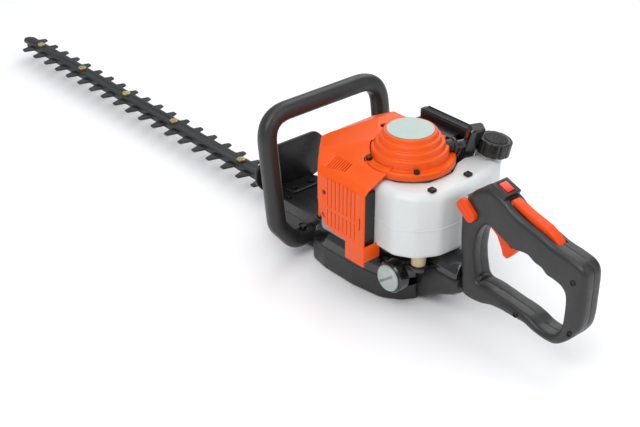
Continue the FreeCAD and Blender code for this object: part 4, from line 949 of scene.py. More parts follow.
@dataclass
class Cowl(Assembly):
    """The orange cover over the cylinder, with its grooves and cooling slits."""

    wall: float = 2.5
    soft: float = 6.0

    # the grooves and holes of the left wall, and where the dome's screws stand
    slit_rows: tuple[Flat, Flat] = ((94, 116), (120, 160))
    slit_start: float = -47.0
    slit_step: float = 7.0
    slit_deep: float = 1.1
    slits: int = 8
    holes: Flat = (105, 136)
    hole_radius: float = 3.4
    groove_step: float = 3.7
    screw_reach: float = 52.1
    screw_turns: Flat = (-113, 172)

    # three points of the front left facet: x, y and the height under the cover's top
    FACET = ((-72, -90, -24), (-96, -41.7, -18), (-72, 15, 0))

    def envelope(self, inset_by: float, open_by: float) -> Thing:
        """The cover's outer block: its plan, section and side view shared.

        Args:
            inset_by: how far the faces stand inside the outer ones, in mm.
            open_by: how far it runs on past the open sides, in mm.
        Returns:
            The block.
        """
        c = Box.of("engine_cowl")
        i, o = inset_by, open_by
        low = c.z0 + 24
        plan = [(c.x1 - 1 + o, c.y0 + i), (c.x0 + 76, c.y0 + i), (c.x0 + 65 + i * 0.7, c.y0 + 10 + i * 0.7),
                (c.x0 + i, -14 + i * 0.4), (c.x0 + i, 24 - i * 0.4), (c.x0 + 20, c.y1 - i),
                (c.x1 + o, c.y1 - i)]
        section = [(c.y0 - 1, low - o), (c.y0 - 1, c.z1 - 38 - i), (c.y0 + 8, c.z1 - 30 - i),
                   (c.y0 + 26, c.z1 - 22 - i), (c.y0 + 68, c.z1 - i), (c.y1 + 1, c.z1 - i),
                   (c.y1 + 1, low - o)]
        side = [(c.x0 - 1, low - o), (c.x0 - 1, c.z1 - 52 - i), (c.x0 + 30, c.z1 - 20 - i),
                (c.x0 + 68, c.z1 - i), (c.x1 + o + 1, c.z1 - i), (c.x1 + o + 1, low - o)]
        body = prism("engine_cover", Plane.XY, plan, low - o - 1, c.z1 + 10)
        return boolean(body, [prism("section", Plane.YZ, section, c.x0 - 2, c.x1 + o + 2),
                              prism("side", Plane.XZ, side, c.y0 - 2, c.y1 + 2)], "INTERSECT")

    def clipped(self, body: Thing, inset_by: float) -> Thing:
        """Cuts the sloped facet off the front left shoulder.

        Args:
            body: the solid to cut.
            inset_by: how far the faces stand inside the outer ones, in mm.
        Returns:
            The same solid.
        """
        c = Box.of("engine_cowl")
        low, middle, high = (Vector(p) for p in self.FACET)
        facing = (middle - low).cross(high - low).normalized()
        facing *= -1 if facing.x > 0 else 1
        away = block("facet", (-300, 300), (-300, 300), (0, 200))
        turned(away, UP.rotation_difference(facing).to_matrix().to_4x4())
        spot = low + Vector((0, 0, c.z1)) - facing * inset_by
        return boolean(body, [turned(away, at(*spot))])

    def build(self) -> None:
        """Makes the cover with its rooms, slits and grooves, and the liner."""
        c, dome, pipe = Box.of("engine_cowl"), Box.of("starter_housing"), Box.of("intake_flange")
        shell = soften(self.clipped(self.envelope(0, 0), 0), self.soft, 4, 12)
        room = self.clipped(self.envelope(self.wall, 60), self.wall)
        boolean(shell, [room])
        boolean(shell, [
            soften(block("lip", (c.x1 - 33, c.x1), (c.y0, c.y0 + self.wall), (c.z0, c.z0 + 26)), 0.8, 2),
            soften(block("foot", (c.x1 - self.wall, c.x1), (c.y0, c.y0 + 27), (c.z0 + 6, c.z0 + 27)),
                   0.8, 2)], "UNION")
        over = [(r + 1.2, z + 0.8) for r, z in Starter().profile(dome)[12:] if r > 20]
        starter_room = [(0, c.z0 - 2), (dome.x1 + 1.2, c.z0 - 2), (dome.x1 + 1.2, dome.z0 + 8), *over,
                        (0, dome.z1 + 1)]
        ways = [bore("screw_way", 6.2, dome.z0 - 2, c.z1 + 20,
                     (self.screw_reach * math.cos(a), self.screw_reach * math.sin(a), 0), count=40)
                for a in map(math.radians, self.screw_turns)]
        intake = block("intake", (pipe.x0 - 9, pipe.x1 + 6), (30, c.y1 + 1), (c.z0 - 1, pipe.z1 + 18))
        boolean(shell, [lathe("starter_room", starter_room, (0, 0, 0)), *ways, intake])
        self.cut_slits(shell, c)
        self.cut_grooves(shell, c)
        soften(shell, 0.5, 2, 50)
        self.add(shell, "chassis", "orange", ["engine_cowl"], 34)
        liner = Box.of("cowl_liner")
        plate = block("liner_plate", (liner.x0, liner.x1), (liner.y0, liner.y0 + 24),
                      (liner.z0, liner.z1 + 4))
        self.add(soften(plate, 0.6), "chassis", "black_plastic", ["cowl_liner"])

    def cut_slits(self, shell: Thing, c: Box) -> None:
        """Two rows of upright grooves in the left wall, two round holes ahead of them and a slot behind.

        Args:
            shell: the solid to cut.
            c: the cover's box.
        """
        cutters = []
        for low, high in self.slit_rows:
            slit = prism("slit", Plane.XZ, rounded(oblong((-0.8, 0.8), (low, high)), 0.7, 3),
                         c.y0 - 3, c.y0 + self.slit_deep)
            cutters.append(repeated(f"slits_{low}", slit, self.slits, (self.slit_start, 0, 0),
                                    (self.slit_step, 0, 0), "orange"))
        corner = [(-95, 60), (-38, 60), (-38, 88.2), (-48, 91), (-58, 99), (-64, 110), (-66, 124), (-95, 124)]
        cutters.append(prism("corner", Plane.XZ, corner, c.y0 - 3, c.y0 + 14))
        for z in self.holes:
            cutters.append(bore("hole", self.hole_radius, -3, 8, (-54.2, c.y0, z), ACROSS, 32))
        cutters.append(block("slot", (9.6, 11.4), (c.y0 - 3, c.y0 + 8), (111, 128)))
        boolean(shell, cutters)

    def cut_grooves(self, shell: Thing, c: Box) -> None:
        """Shallow grooves down the sloped shoulder near its front.

        Args:
            shell: the solid to cut.
            c: the cover's box.
        """
        cutters = []
        for k in range(self.slits):
            half = 10.5 - 0.5 * k
            groove = block("groove", (-0.8, 0.8), (-half, half), (-1.1, 3))
            turned(groove, Matrix.Rotation(math.atan2(8, 18), 4, "X") @ spun(4, "Z"))
            cutters.append(turned(groove, at(-59 + self.groove_step * k, c.y0 + 17 + 0.5 * k, c.z1 - 26)))
        boolean(shell, cutters)


@dataclass
class Starter(Assembly):
    """The stepped starter dome with its blank label, screws, pulley, rope and grip."""

    # steps in from the skirt and up from the foot, then steps in and down from the top
    RINGS = ((0.6, 0), (0, 0.6), (0, 7.4), (1.6, 9), (7.4, 9.2), (8.2, 10), (8.9, 19.4), (10, 20.9),
             (12.6, 21.5), (13.2, 22.2), (13.8, 27.2), (14.9, 28.5), (17.4, 29.1), (18, 29.8), (18.6, 34.4),
             (19.6, 35.6), (21.8, 36.2), (22.4, 36.9))
    TOP = ((23.2, 1.2), (24.4, 0), (26.4, 0), (26.9, 0.5))
    HOLLOW = ((26.5, 5), (22.5, 12.5), (15.5, 19.5), (11.5, 22.5))

    def profile(self, b: Box) -> list[Flat]:
        """The dome's section: hollow below, stepped rings above, the pulley's post in the middle.

        Args:
            b: the CAD node's box.
        Returns:
            The closed section.
        """
        low, top, skirt = b.z0, b.z1, b.x1
        return [(0, low + 3), (4.95, low + 3), (4.95, top - 5),
                *[(skirt - r, top - z) for r, z in self.HOLLOW], (skirt - 10.5, low),
                *[(skirt - r, low + z) for r, z in self.RINGS],
                *[(skirt - r, top - z) for r, z in self.TOP], (0, top - 0.5)]

    def build(self) -> None:
        """Makes the dome, its label and what belongs to the rope."""
        b, guide = Box.of("starter_housing"), Box.of("rope_guide")
        dome = lathe("starter_dome", self.profile(b), (0, 0, 0), count=128)
        heading = Vector((11.7, 31.4, 0)).normalized()
        eye = Vector((24.5, 36.4, guide.middle.z))
        rope_room = bore("rope_room", 8.1, -12, 20, eye, heading, 48)
        flange_room = bore("flange_room", 10.3, 7.6, 20, eye, heading, 48)
        boolean(dome, [rope_room, flange_room])
        self.add(dome, "chassis", "orange", ["starter_housing"], 24)
        label = Box.of("label_plate")
        wide, thick = label.x1, label.z1 - label.z0
        face = lathe("label_face", [(0, -0.5), (wide - 0.4, -0.5), (wide, 0), (wide, thick - 0.3),
                                    (wide - 0.4, thick), (0, thick)], (0, 0, label.z0))
        self.add(face, "chassis", "label", ["label_plate"])
        self.eased("rope_guide", "black_plastic", 0.8, 3)
        self.eased("housing_screws", "black_screw", 0.5, 2)
        self.keep("starter_pulley", "black_plastic")
        self.keep("starter_rope", "rope")
        self.keep("recoil_spring", "gear_steel")
        self.grip(eye, heading)

    def grip(self, eye: Vector, heading: Vector) -> None:
        """The T-shaped pull grip: a squarish bar on a stem, thicker towards its ends.

        Args:
            eye: the middle of the rope guide in mm.
            heading: the way that the rope leaves.
        """
        reach, half, lean = 33.5, 31.0, math.radians(28)
        up = Matrix.Rotation(lean, 3, heading) @ UP
        centre = eye + heading * reach
        path = [centre + up * (half * (2 * k / 24 - 1)) for k in range(25)]

        def section(angle: float, share: float) -> Flat:
            """A squarish cross-section of the bar.

            Args:
                angle: the angle round the bar in radians.
                share: the share of the path, from 0 to 1.
            Returns:
                The point across the bar.
            """
            along = abs(2 * share - 1)
            swell = 8.4 + 0.9 * max(0.0, along - 0.3)
            end = math.sqrt(max(0.0, 1 - ((along - 0.93) / 0.07) ** 2)) * 0.3 + 0.7 if along > 0.93 else 1.0
            a, b = squarish(angle, 5)
            return a * swell * end * 1.12, b * swell * end * 0.8

        bar = tube("grip_bar", path, section, 40)
        neck = [(0, 12.4), (4.5, 12.4), (4.7, 13), (5.4, reach - 8), (6.2, reach - 2), (0, reach - 2)]
        stem = lathe("grip_stem", neck, eye, heading, 40)
        boolean(bar, [stem], "UNION")
        hole = bore("hole", 3, reach + 2, reach + 12, eye, heading, 32)
        boolean(bar, [hole])
        self.add(bar, "grip", "gloss_black", ["starter_grip"], 34)


@dataclass
class FuelSystem(Assembly):
    """Tank with its filler, cap, gasket and the cups that it stands on."""

    def outline(self, by: float = 0.0) -> list[Flat]:
        """The tank in plan, a crescent round the fan housing; only its outer side is inset.

        Args:
            by: the distance in mm.
        Returns:
            The outline in mm.
        """
        near = 52.5
        outer = [(-8, -63), (8, -68), (46, -69.5), (70, -55), (85, -28), (87, 0), (85, 34), (80, 62),
                 (71, 86), (58, 101), (39, 106.5)]
        inner = [(36, 60), (40, 42), (near + 1, 20), (near + 1, -20), (27, -48), (-8, -near)]
        radii = [12, 18, 20, 24, 26, 26, 26, 26, 22, 14, 12]
        moved = inset(outer + inner, by)[:len(outer)]
        return rounded(moved + inner, [max(0.3, r - by) for r in radii] + [12, 14, 16, 16, 14, 2], 7)

    def build(self) -> None:
        """Makes the tank, its cap and its mounts."""
        b = Box.of("fuel_tank")
        top = b.z0 + 86
        foot, lean = anchor("cap_turn"), Vector(joint("cap_turn")["axis"])
        tank = stack("tank_shell", Plane.XY,
                     [(level, self.outline(by)) for level, by in fillets(b.z0, top, 8, 12, 7)])
        pipe = [(11, -8), (14, -8), (14, 10), (13.6, 10.4), (11.4, 10.4), (11, 10)]
        neck = lathe("neck", pipe, foot, lean, 64)
        line = [Vector((x, y, b.z0 + 40)) for x, y in inset(self.outline(), 0.2)]
        seam = tube("tank_seam", [*line, line[0]], lambda a, s: (0.9 * math.cos(a), 1.1 * math.sin(a)), 10)
        self.add(joined("tank_body", [tank, neck, seam]), "chassis", "tank", ["fuel_tank"], 45)
        self.cap(foot, lean)
        self.keep("cap_gasket", "rubber")
        self.eased("tank_mounts", "cups", 1.2, 3)

    def cap(self, foot: Vector, lean: Vector) -> None:
        """The filler cap: a notched rim and a flat top with raised ribs across it.

        Args:
            foot: the foot of the cap's axis in mm.
            lean: the direction of the cap's axis.
        """
        def notch(angle: float, radius: float) -> float:
            """Adds twelve notches to the rim."""
            return -0.9 * max(0.0, math.cos(12 * angle)) ** 4 if radius > 19.5 else 0.0

        profile = [(14.3, 11.5), (14.3, 5.5), (20.4, 5.5), (21, 6.1), (21, 10), (20.6, 10.4), (20.6, 11.2),
                   (21, 11.6), (21.2, 22.6), (20.8, 23.6), (20.0, 24.2), (18.4, 24.5), (17.6, 24.0),
                   (0, 24.0)]
        cap = lathe("cap_shell", [(0, 11.5)] + profile, foot, lean, 144, notch)
        turn = UP.rotation_difference(lean).to_matrix().to_4x4()
        studs = []
        for k in range(-4, 5):
            half = math.sqrt(15.0 ** 2 - (k * 3.4) ** 2)
            rib = soft_block("rib", Plane.XY, rounded(oblong((-half, half), (-0.9, 0.9)), 0.8, 3),
                             fillets(23.6, 24.9, 0.05, 0.5, 2))
            turned(rib, at(*foot) @ turn @ spun(35, "Z") @ at(0, k * 3.4, 0))
            studs.append(rib)
        self.add(joined("cap_body", [cap, *studs]), "cap", "black_plastic", ["fuel_cap"], 34)


@dataclass
class Intake(Assembly):
    """Carburettor, air filter and the black cover with its ribbed pull."""

    def build(self) -> None:
        """Makes the cover with its pull and shows the parts behind it."""
        b = Box.of("filter_cover")
        low, high, plate = b.z0, b.z0 + 107, Box.of("air_box")
        outline = rounded([(plate.y0 + 0.5, low), (b.y1 - 6, low), (b.y1, low + 40), (b.y1 - 2, low + 82),
                           (b.y1 - 11, high), (plate.y0 + 0.5, high)], [0.5, 8, 18, 18, 7, 0.5], 6)
        shell = soft_block("filter_shell", Plane.YZ, outline, fillets(b.x0, b.x1, 6, 4, 5))
        wall = 2.5
        inside = [(plate.y0 - 4, low + wall), (b.y1 - 8, low + wall), (b.y1 - wall, low + 41),
                  (b.y1 - 5, low + 81), (b.y1 - 13, high - wall), (plate.y0 - 4, high - wall)]
        room = prism("room", Plane.YZ, inside, b.x0 + wall, b.x1 - wall)
        parking = block("parking", (plate.x1 + 2, b.x1 + 1), (plate.y0 - 6, b.y0 + 16.6), (150, high + 1))
        dome = Box.of("starter_housing")
        skirt = bore("skirt", dome.x1 + 1.5, dome.z0 - 1, dome.z1, (0, 0, 0))
        boolean(shell, [room, parking, skirt])
        rib_low, rib_high = b.y0 + 16.5, b.y0 + 31.5
        pull = soft_block("pull", Plane.XY,
                          rounded(oblong((b.x0, b.x1), (rib_low, rib_high)), [7.2, 2, 2, 7.2], 8),
                          fillets(high - 2, b.z1 - 1.4, 0.1, 1.2, 3))
        boolean(shell, [pull], "UNION")
        rib = soft_block("rib", Plane.XY, rounded(oblong((b.x0 + 5, b.x1 - 1.5), (-0.9, 0.9)), 0.8, 4),
                         fillets(b.z1 - 2, b.z1, 0.1, 0.7, 3))
        ribs = repeated("pull_ribs", rib, 5, (0, rib_low + 2.2, 0), (0, 2.65, 0), "black_plastic")
        shell.data.materials.append(MATERIALS.get("black_plastic"))
        self.add(joined("filter_cover_body", [shell, ribs]), "filter_lid", "black_plastic", ["filter_cover"],
                 30)
        self.keep("air_filter", "foam")
        for node, finish in (("air_box", "black_plastic"), ("carburettor", "cast_alloy")):
            self.eased(node, finish, 0.8, 2)
        self.eased("primer_bulb", "bulb", 1.5, 4)
        self.eased("choke_lever", "grey", 0.8, 3)


@dataclass
class Base(Assembly):
    """The tray under the engine: charcoal skirt, glossy shoulder and the neck of the swivel."""

    split: float = 32.0

    def outline(self, b: Box) -> list[Flat]:
        """The base in plan.

        Args:
            b: the CAD node's box.
        Returns:
            The outline in mm.
        """
        side = [(b.x0, 55), (b.x0 + 32, b.y1), (b.x0 + 85, b.y1), (b.x0 + 130, 54), (b.x0 + 151, 38),
                (b.x0 + 160, 23)]
        radii = [9, 20, 26, 26, 16, 8]
        return rounded([(x, -y) for x, y in side] + [(x, y) for x, y in reversed(side)], radii + radii[::-1],
                       6)

    def build(self) -> None:
        """Makes the tray, the shoulder and the plug."""
        b, swivel = Box.of("base_housing"), anchor("handle_swivel")
        plug, case = anchor("plug_turn"), Box.of("gear_case_upper")
        outline, split = self.outline(b), b.z0 + self.split
        levels = [(b.z0, 2.4), (b.z0 + 0.8, 1.1), (b.z0 + 2.4, 0.3), (b.z0 + 4, 0), (split - 3, 0),
                  (split - 0.9, 0.1), (split, 0.9)]
        skirt = soft_block("base_tray", Plane.XY, outline, levels)
        boolean(skirt, [prism("tray_room", Plane.XY, inset(outline, 3.0), b.z0 + 3.2, split + 1)])
        tail = stack("tail", Plane.YZ, [(x, rounded(oblong((-w, w), (lo, hi)), r, 5)) for x, w, lo, hi, r in (
            (b.x0 + 159, 20, b.z0 + 1, swivel.z - 2, 4), (b.x0 + 170, 20, b.z0 + 6, swivel.z - 2, 6),
            (b.x0 + 196, 19.5, b.z0 + 21, swivel.z - 2, 9), (b.x0 + 216, 19, b.z0 + 30, swivel.z - 2, 10),
            (b.x1, 18.5, swivel.z - 23, swivel.z - 2, 11))])
        boolean(skirt, [tail], "UNION")
        way = block("case_way", (b.x0 - 1, b.x0 + 5), (-case.y1 - 0.3, case.y1 + 0.3),
                    (b.z0 + 3.2, split + 1))
        door = bore("door", 21.2, -22, 40, plug, ACROSS, 64)
        boolean(skirt, [way, door, self.spigot_way(swivel, b)])
        self.add(skirt, "chassis", "charcoal", ["base_housing"], 30)
        self.shoulder(b, outline, split, swivel, plug, case)
        self.plug(plug)
        self.eased("swivel_spigot", "black_plastic", 0.6)

    def spigot_way(self, swivel: Vector, b: Box) -> Thing:
        """The bore that holds the swivel's spigot."""
        return bore("spigot_way", 12.02, b.x1 - 12, b.x1 + 1, (0, 0, swivel.z), ALONG, 64)

    def shoulder(self, b: Box, outline: list[Flat], split: float, swivel: Vector, plug: Vector,
                 case: Box) -> None:
        """The glossy upper half with the neck and the boss round the service plug.

        Args:
            b: the CAD node's box.
            outline: the base in plan.
            split: the level where the tray ends and this half begins, in mm.
            swivel: the swivel's anchor in mm.
            plug: the plug's anchor in mm.
            case: the gear case's box.
        """
        c, tank = Box.of("base_cover"), Box.of("fuel_tank")
        top = split + 24
        levels = [(split + up, by) for up, by in ((0, 0.9), (0.6, 0.2), (8, 0.9), (15, 3.2), (20, 6.6),
                                                  (23, 10.4), (24, 14))]
        cover = soft_block("base_shoulder", Plane.XY, outline, levels)
        rings = []
        for x, radius in ((30, 22.4), (44, 22.8), (70, 23), (96, 22.8), (104, 22.2), (c.x1 - 0.6, 21.4),
                          (c.x1, 20.4)):
            loop = [(radius * math.cos(t), swivel.z - 2 + max(0.0, radius * math.sin(t) * 0.97 + 2))
                    for t in (math.pi * k / 24 for k in range(25))]
            rings.append((x, loop))
        neck = stack("neck_roof", Plane.YZ, rings)
        root = block("root", (30, 41.9), (-20, 20), (top - 4, swivel.z))
        ear = rounded(oblong((43, 69), (-46, 46)), 10, 6)
        ears = soft_block("ears", Plane.XY, ear, fillets(58, 63, 1.2, 1.2, 3))
        boss = lathe("boss", [(0, 0), (18.6, 0), (20.5, 1.9), (20.5, 14.5), (0, 14.5)], plug,
                     ACROSS, 64)
        boolean(cover, [neck, root, ears, boss], "UNION")
        boolean(cover, [
            bore("bell_room", 36.5, split - 1, tank.z0 + 20, (0, 0, 0)),
            block("front_room", (b.x0 - 1, case.x1 + 0.3), (-case.y1 - 0.3, case.y1 + 0.3),
                  (split - 1, case.z1 + 0.4)),
            bore("plug_bore", 8.05, -1, 12, plug, ACROSS, 48),
            self.spigot_way(swivel, b)])
        self.add(cover, "chassis", "gloss_black", ["base_cover"], 30)

    def plug(self, plug: Vector) -> None:
        """The service plug with its leaning slot.

        Args:
            plug: the plug's anchor in mm.
        """
        b = Box.of("service_plug")
        profile = [(0, -10), (8, -10), (8, 0.35), (17, 0.35), (17, 2.4), (16.2, 3.6), (14.6, 4.2),
                   (13.8, 4.3), (13.2, 4.0), (12.6, 4.0), (12, 4.5), (0, 4.5)]
        face = lathe("plug_face", profile, plug, Vector((0, -1, 0)))
        slot = block("slot", (-13.8, 13.8), (-2.2, 3), (-1.6, 1.6))
        turned(slot, at(plug.x, b.y0, plug.z) @ spun(-38, "Y"))
        boolean(face, [slot])
        self.add(face, "door_plug", "plug", ["service_plug"], 30)


@dataclass
class RearHandle(Assembly):
    """The swivelling rear handle: two sculpted shells, their levers, the catch and the switch."""

    half: float = 16.5
    rim: float = 7.0
    count: int = 260

    OUTER = [(-3, 109), (-5, 87), (-5, 56), (-3, 34), (-2, 20), (0, 0), (2, -16), (9, -21), (30, -20.5),
             (51, -15), (80, -13.5), (102, -13), (118, -18), (139, -19), (150, -16), (165, -3), (177, 14),
             (180.5, 30), (181, 53), (181, 78), (179, 90), (172, 97), (156, 101), (134, 104), (114, 110),
             (88, 116), (70, 123), (60, 129), (45, 134), (30, 134), (12, 123), (2, 112)]
    INNER = [(27, 6), (20, 22), (17, 40), (17.5, 54), (20, 68), (27, 81), (36, 88), (48, 86.5), (60, 81),
             (73, 75.5), (82, 75), (92, 76.5), (99, 76), (108, 71.5), (118, 69.5), (126, 64.5), (136, 63.5),
             (147, 60.5), (154, 52), (155.5, 34), (153.5, 8), (145, -6), (125, -7.5), (106, -1), (79, 2.5),
             (49, 5)]
    # the point in the loop that its cross-sections are drawn from
    POLE = (92.0, 30.0)
    TRIGGER = [(139, 151), (148, 157), (186, 140), (184, 133), (177, 122), (169, 112), (163, 114), (160, 122),
               (152, 136), (141, 143)]
    LOCKOUT = [(167, 188), (171, 190.5), (181, 188.5), (194, 184), (208, 180.5), (222, 177), (233, 171.5),
               (240, 165.5), (243, 161), (240, 159.5), (226, 164), (200, 173), (178, 181), (169, 183)]

    def reach(self, loop: Sequence[Flat], centre: Flat, angle: float) -> float:
        """How far a loop lies from the centre in one direction.

        Args:
            loop: the closed loop.
            centre: the point to look from.
            angle: the direction in radians.
        Returns:
            The distance in mm.
        """
        way, best = (math.cos(angle), math.sin(angle)), 0.0
        for (ax, az), (bx, bz) in zip(loop, list(loop[1:]) + [loop[0]]):
            ax, az, bx, bz = ax - centre[0], az - centre[1], bx - centre[0], bz - centre[1]
            ex, ez = bx - ax, bz - az
            cross = way[0] * ez - way[1] * ex
            if abs(cross) < 1e-9:
                continue
            far = (ax * ez - az * ex) / cross
            share = (ax * way[1] - az * way[0]) / cross
            if 0 <= share <= 1 and far > best:
                best = far
        return best

    def shell(self, side: int, mouth: Vector) -> Thing:
        """One half of the handle, each cross-section rounded between the inner and outer outline.

        Args:
            side: 1 or -1, the side that it is on.
            mouth: the middle of the handle's front end in mm.
        Returns:
            The half, as a closed mesh.
        """
        outer, inner = smooth_loop(self.OUTER, 720), smooth_loop(self.INNER, 520)
        centre = self.POLE
        points, rows = [], []
        for k in range(self.count):
            angle = 2 * math.pi * k / self.count
            far, near = self.reach(outer, centre, angle), self.reach(inner, centre, angle)
            width = far - near
            rim_in = min(self.rim, width * 0.42)
            rim_out = min(self.rim + 1.0, width * 0.42)
            crown = 0.5
            section = [(near + 0.7, 0.12), (near, 0.7), (near, (self.half - rim_in) * 0.6)]
            section += [(near + rim_in * (1 - math.cos(a)),
                         self.half - rim_in + (rim_in - crown) * math.sin(a))
                        for a in (math.pi / 2 * i / 5 for i in range(6))]
            section.append(((near + far) / 2, self.half))
            section += [(far - rim_out * (1 - math.cos(a)),
                         self.half - rim_out + (rim_out - crown) * math.sin(a))
                        for a in (math.pi / 2 * i / 5 for i in range(5, -1, -1))]
            section += [(far, (self.half - rim_out) * 0.6), (far, 0.7), (far - 0.7, 0.12)]
            row = []
            for radius, level in section:
                row.append(len(points))
                points.append((mouth.x + centre[0] + radius * math.cos(angle), side * level,
                               mouth.z + centre[1] + radius * math.sin(angle)))
            rows.append(row)
        faces = []
        for k, row in enumerate(rows):
            after = rows[(k + 1) % len(rows)]
            for i in range(len(row)):
                j = (i + 1) % len(row)
                faces.append([row[i], row[j], after[j], after[i]])
        return mesh(f"handle_half_{side}", points, faces)

    def room(self, points: Sequence[Flat], pivot: Vector, turns: Sequence[float], half: float,
             grow: float) -> Thing:
        """The room that a lever sweeps, as one convex cutter.

        Args:
            points: the lever's outline.
            pivot: the lever's anchor in mm.
            turns: the angles that it takes, in radians.
            half: half of its thickness in mm.
            grow: the clearance round it in mm.
        Returns:
            The cutter.
        """
        work = bmesh.new()
        middle = Vector((sum(p[0] for p in points) / len(points), sum(p[1] for p in points) / len(points)))
        for turn in turns:
            for x, z in points:
                away = Vector((x, z)) - middle
                spot = Vector((x, z)) + away.normalized() * grow
                dx, dz = spot.x - pivot.x, spot.y - pivot.z
                c, s = math.cos(turn), math.sin(turn)
                px, pz = pivot.x + c * dx + s * dz, pivot.z - s * dx + c * dz
                for y in (-half, half):
                    work.verts.new(Vector((px, y, pz)) * MM)
        bmesh.ops.convex_hull(work, input=work.verts)
        loose = [v for v in work.verts if not v.link_faces]
        bmesh.ops.delete(work, geom=loose, context="VERTS")
        data = bpy.data.meshes.new("lever_room")
        work.to_mesh(data)
        work.free()
        return placed("lever_room", data)

    def build(self) -> None:
        """Makes the shells, levers, catch, switch and screws."""
        cad = Box.of("handle_shell_left")
        mouth = Vector((cad.x0 + 6, 0, anchor("handle_swivel").z))
        trigger, lockout = anchor("trigger_pull"), anchor("lockout_press")
        for side, node in ((-1, "handle_shell_left"), (1, "handle_shell_right")):
            half = self.shell(side, mouth)
            cutters = [
                self.room(self.TRIGGER, trigger, [math.radians(a) for a in (0, -7, -14)], 7.8, 1.8),
                self.room(self.LOCKOUT, lockout, [math.radians(a) for a in (0, 2, 4)], 7.3, 1.8),
                bore("mouth", 12.05, mouth.x - 20, mouth.x + 27.3, (0, 0, mouth.z), ALONG, 64),
                block("end", (mouth.x - 20, mouth.x + 0.3), (-24, 24), (mouth.z - 26, mouth.z + 25))]
            if side < 0:
                cutters.append(self.pill("catch_room", 0.4, -self.half - 10, -5.5, 0.0))
            boolean(half, cutters)
            soften(half, 0.5, 2, 45)
            self.add(half, "rear_handle", "charcoal", [node], 38)
        pins = [bore("pin", 1.9, -9, 9, (spot.x, 0, spot.z), ACROSS, 24)
                for spot in (trigger, lockout)]
        self.add(joined("lever_pins", pins), "rear_handle", "gear_steel", ["handle_pins"])
        self.levers()
        self.add(self.pill("catch_button", 0, -self.half - 5.5, -self.half + 1, 1.2), "catch", "orange_lever",
                 ["swivel_catch"], 30)
        self.eased("switch_housing", "black_plastic", 1.0, 3)
        self.eased("stop_switch", "switch", 0.9, 3)
        self.screws(mouth)

    def pill(self, name: str, grow: float, low: float, high: float, soft: float) -> Thing:
        """The catch's rounded outline between two sideways distances.

        Args:
            name: the object's name.
            grow: the clearance round it in mm.
            low: the outer level in mm.
            high: the inner level in mm.
            soft: the radius of the outer rim in mm.
        Returns:
            The solid, leaning as the catch does.
        """
        b = Box.of("swivel_catch")
        long, tall = 15.0 + grow, 8.5 + grow
        outline = rounded(oblong((-long, long), (-tall, tall)), tall - 0.2, 10)
        rim = [(low, soft), (low + soft * 0.3, soft * 0.3), (low + soft, 0.0)] if soft else [(low, 0.0)]
        made = soft_block(name, Plane.XZ, outline, rim + [(high, 0.0)])
        if soft:
            ridge = soft_block("ridge", Plane.XZ, rounded(oblong((-11, 11), (-1.4, 1.4)), 1.3, 4),
                               [(low - 1.4, 0.6), (low - 0.7, 0.1), (low + 1, 0.0)])
            stem = bore("stem", 5, high - 1, high + 5.5, (0, 0, 0), ACROSS, 32)
            boolean(made, [ridge, stem], "UNION")
        return turned(made, at(b.middle.x, 0, b.middle.z) @ spun(38, "Y"))

    def levers(self) -> None:
        """Trigger with its three finger pockets and the long lockout lever."""
        t, k = Box.of("throttle_trigger"), Box.of("throttle_lockout")
        body = soft_block("trigger_body", Plane.XZ, rounded(self.TRIGGER, 3.0, 5),
                          fillets(t.y0, t.y1, 1.8, 1.8, 4))
        pockets = []
        for i, (x, z) in enumerate(((155.5, 147), (166, 140), (174.5, 133))):
            for y in (t.y0, t.y1):
                pockets.append(turned(soft_block("pocket", Plane.XZ, rounded(
                    oblong((-3.4, 3.4), (-5 + i, 5 - i)), 1.6, 4), [(-1.6, 0.3), (1.6, 0)]),
                    at(x, y, z) @ spun(24, "Y")))
        boolean(body, pockets)
        self.add(body, "trigger", "orange_lever", ["throttle_trigger"], 32)
        lever = soft_block("lockout_body", Plane.XZ, rounded(self.LOCKOUT, 2.6, 4),
                           fillets(k.y0, k.y1, 2.2, 2.2, 5))
        self.add(lever, "lockout", "orange_lever", ["throttle_lockout"], 32)

    def screws(self, mouth: Vector) -> None:
        """The screw heads sunk in the left cheek.

        Args:
            mouth: the middle of the handle's front end in mm.
        """
        head_line = [(0, 0), (3.4, 0), (3.6, 0.3), (3.6, 1.4), (3.1, 1.9), (2, 1.9), (1.8, 0.7), (0, 0.7)]
        for i, (x, z) in enumerate(((13, 95), (165, 74), (168, 8), (90, -6))):
            head = lathe(f"handle_screw_{i}", head_line,
                         (mouth.x + x, -self.half + 0.9, mouth.z + z), Vector((0, -1, 0)), 32)
            self.add(head, "rear_handle", "black_screw")


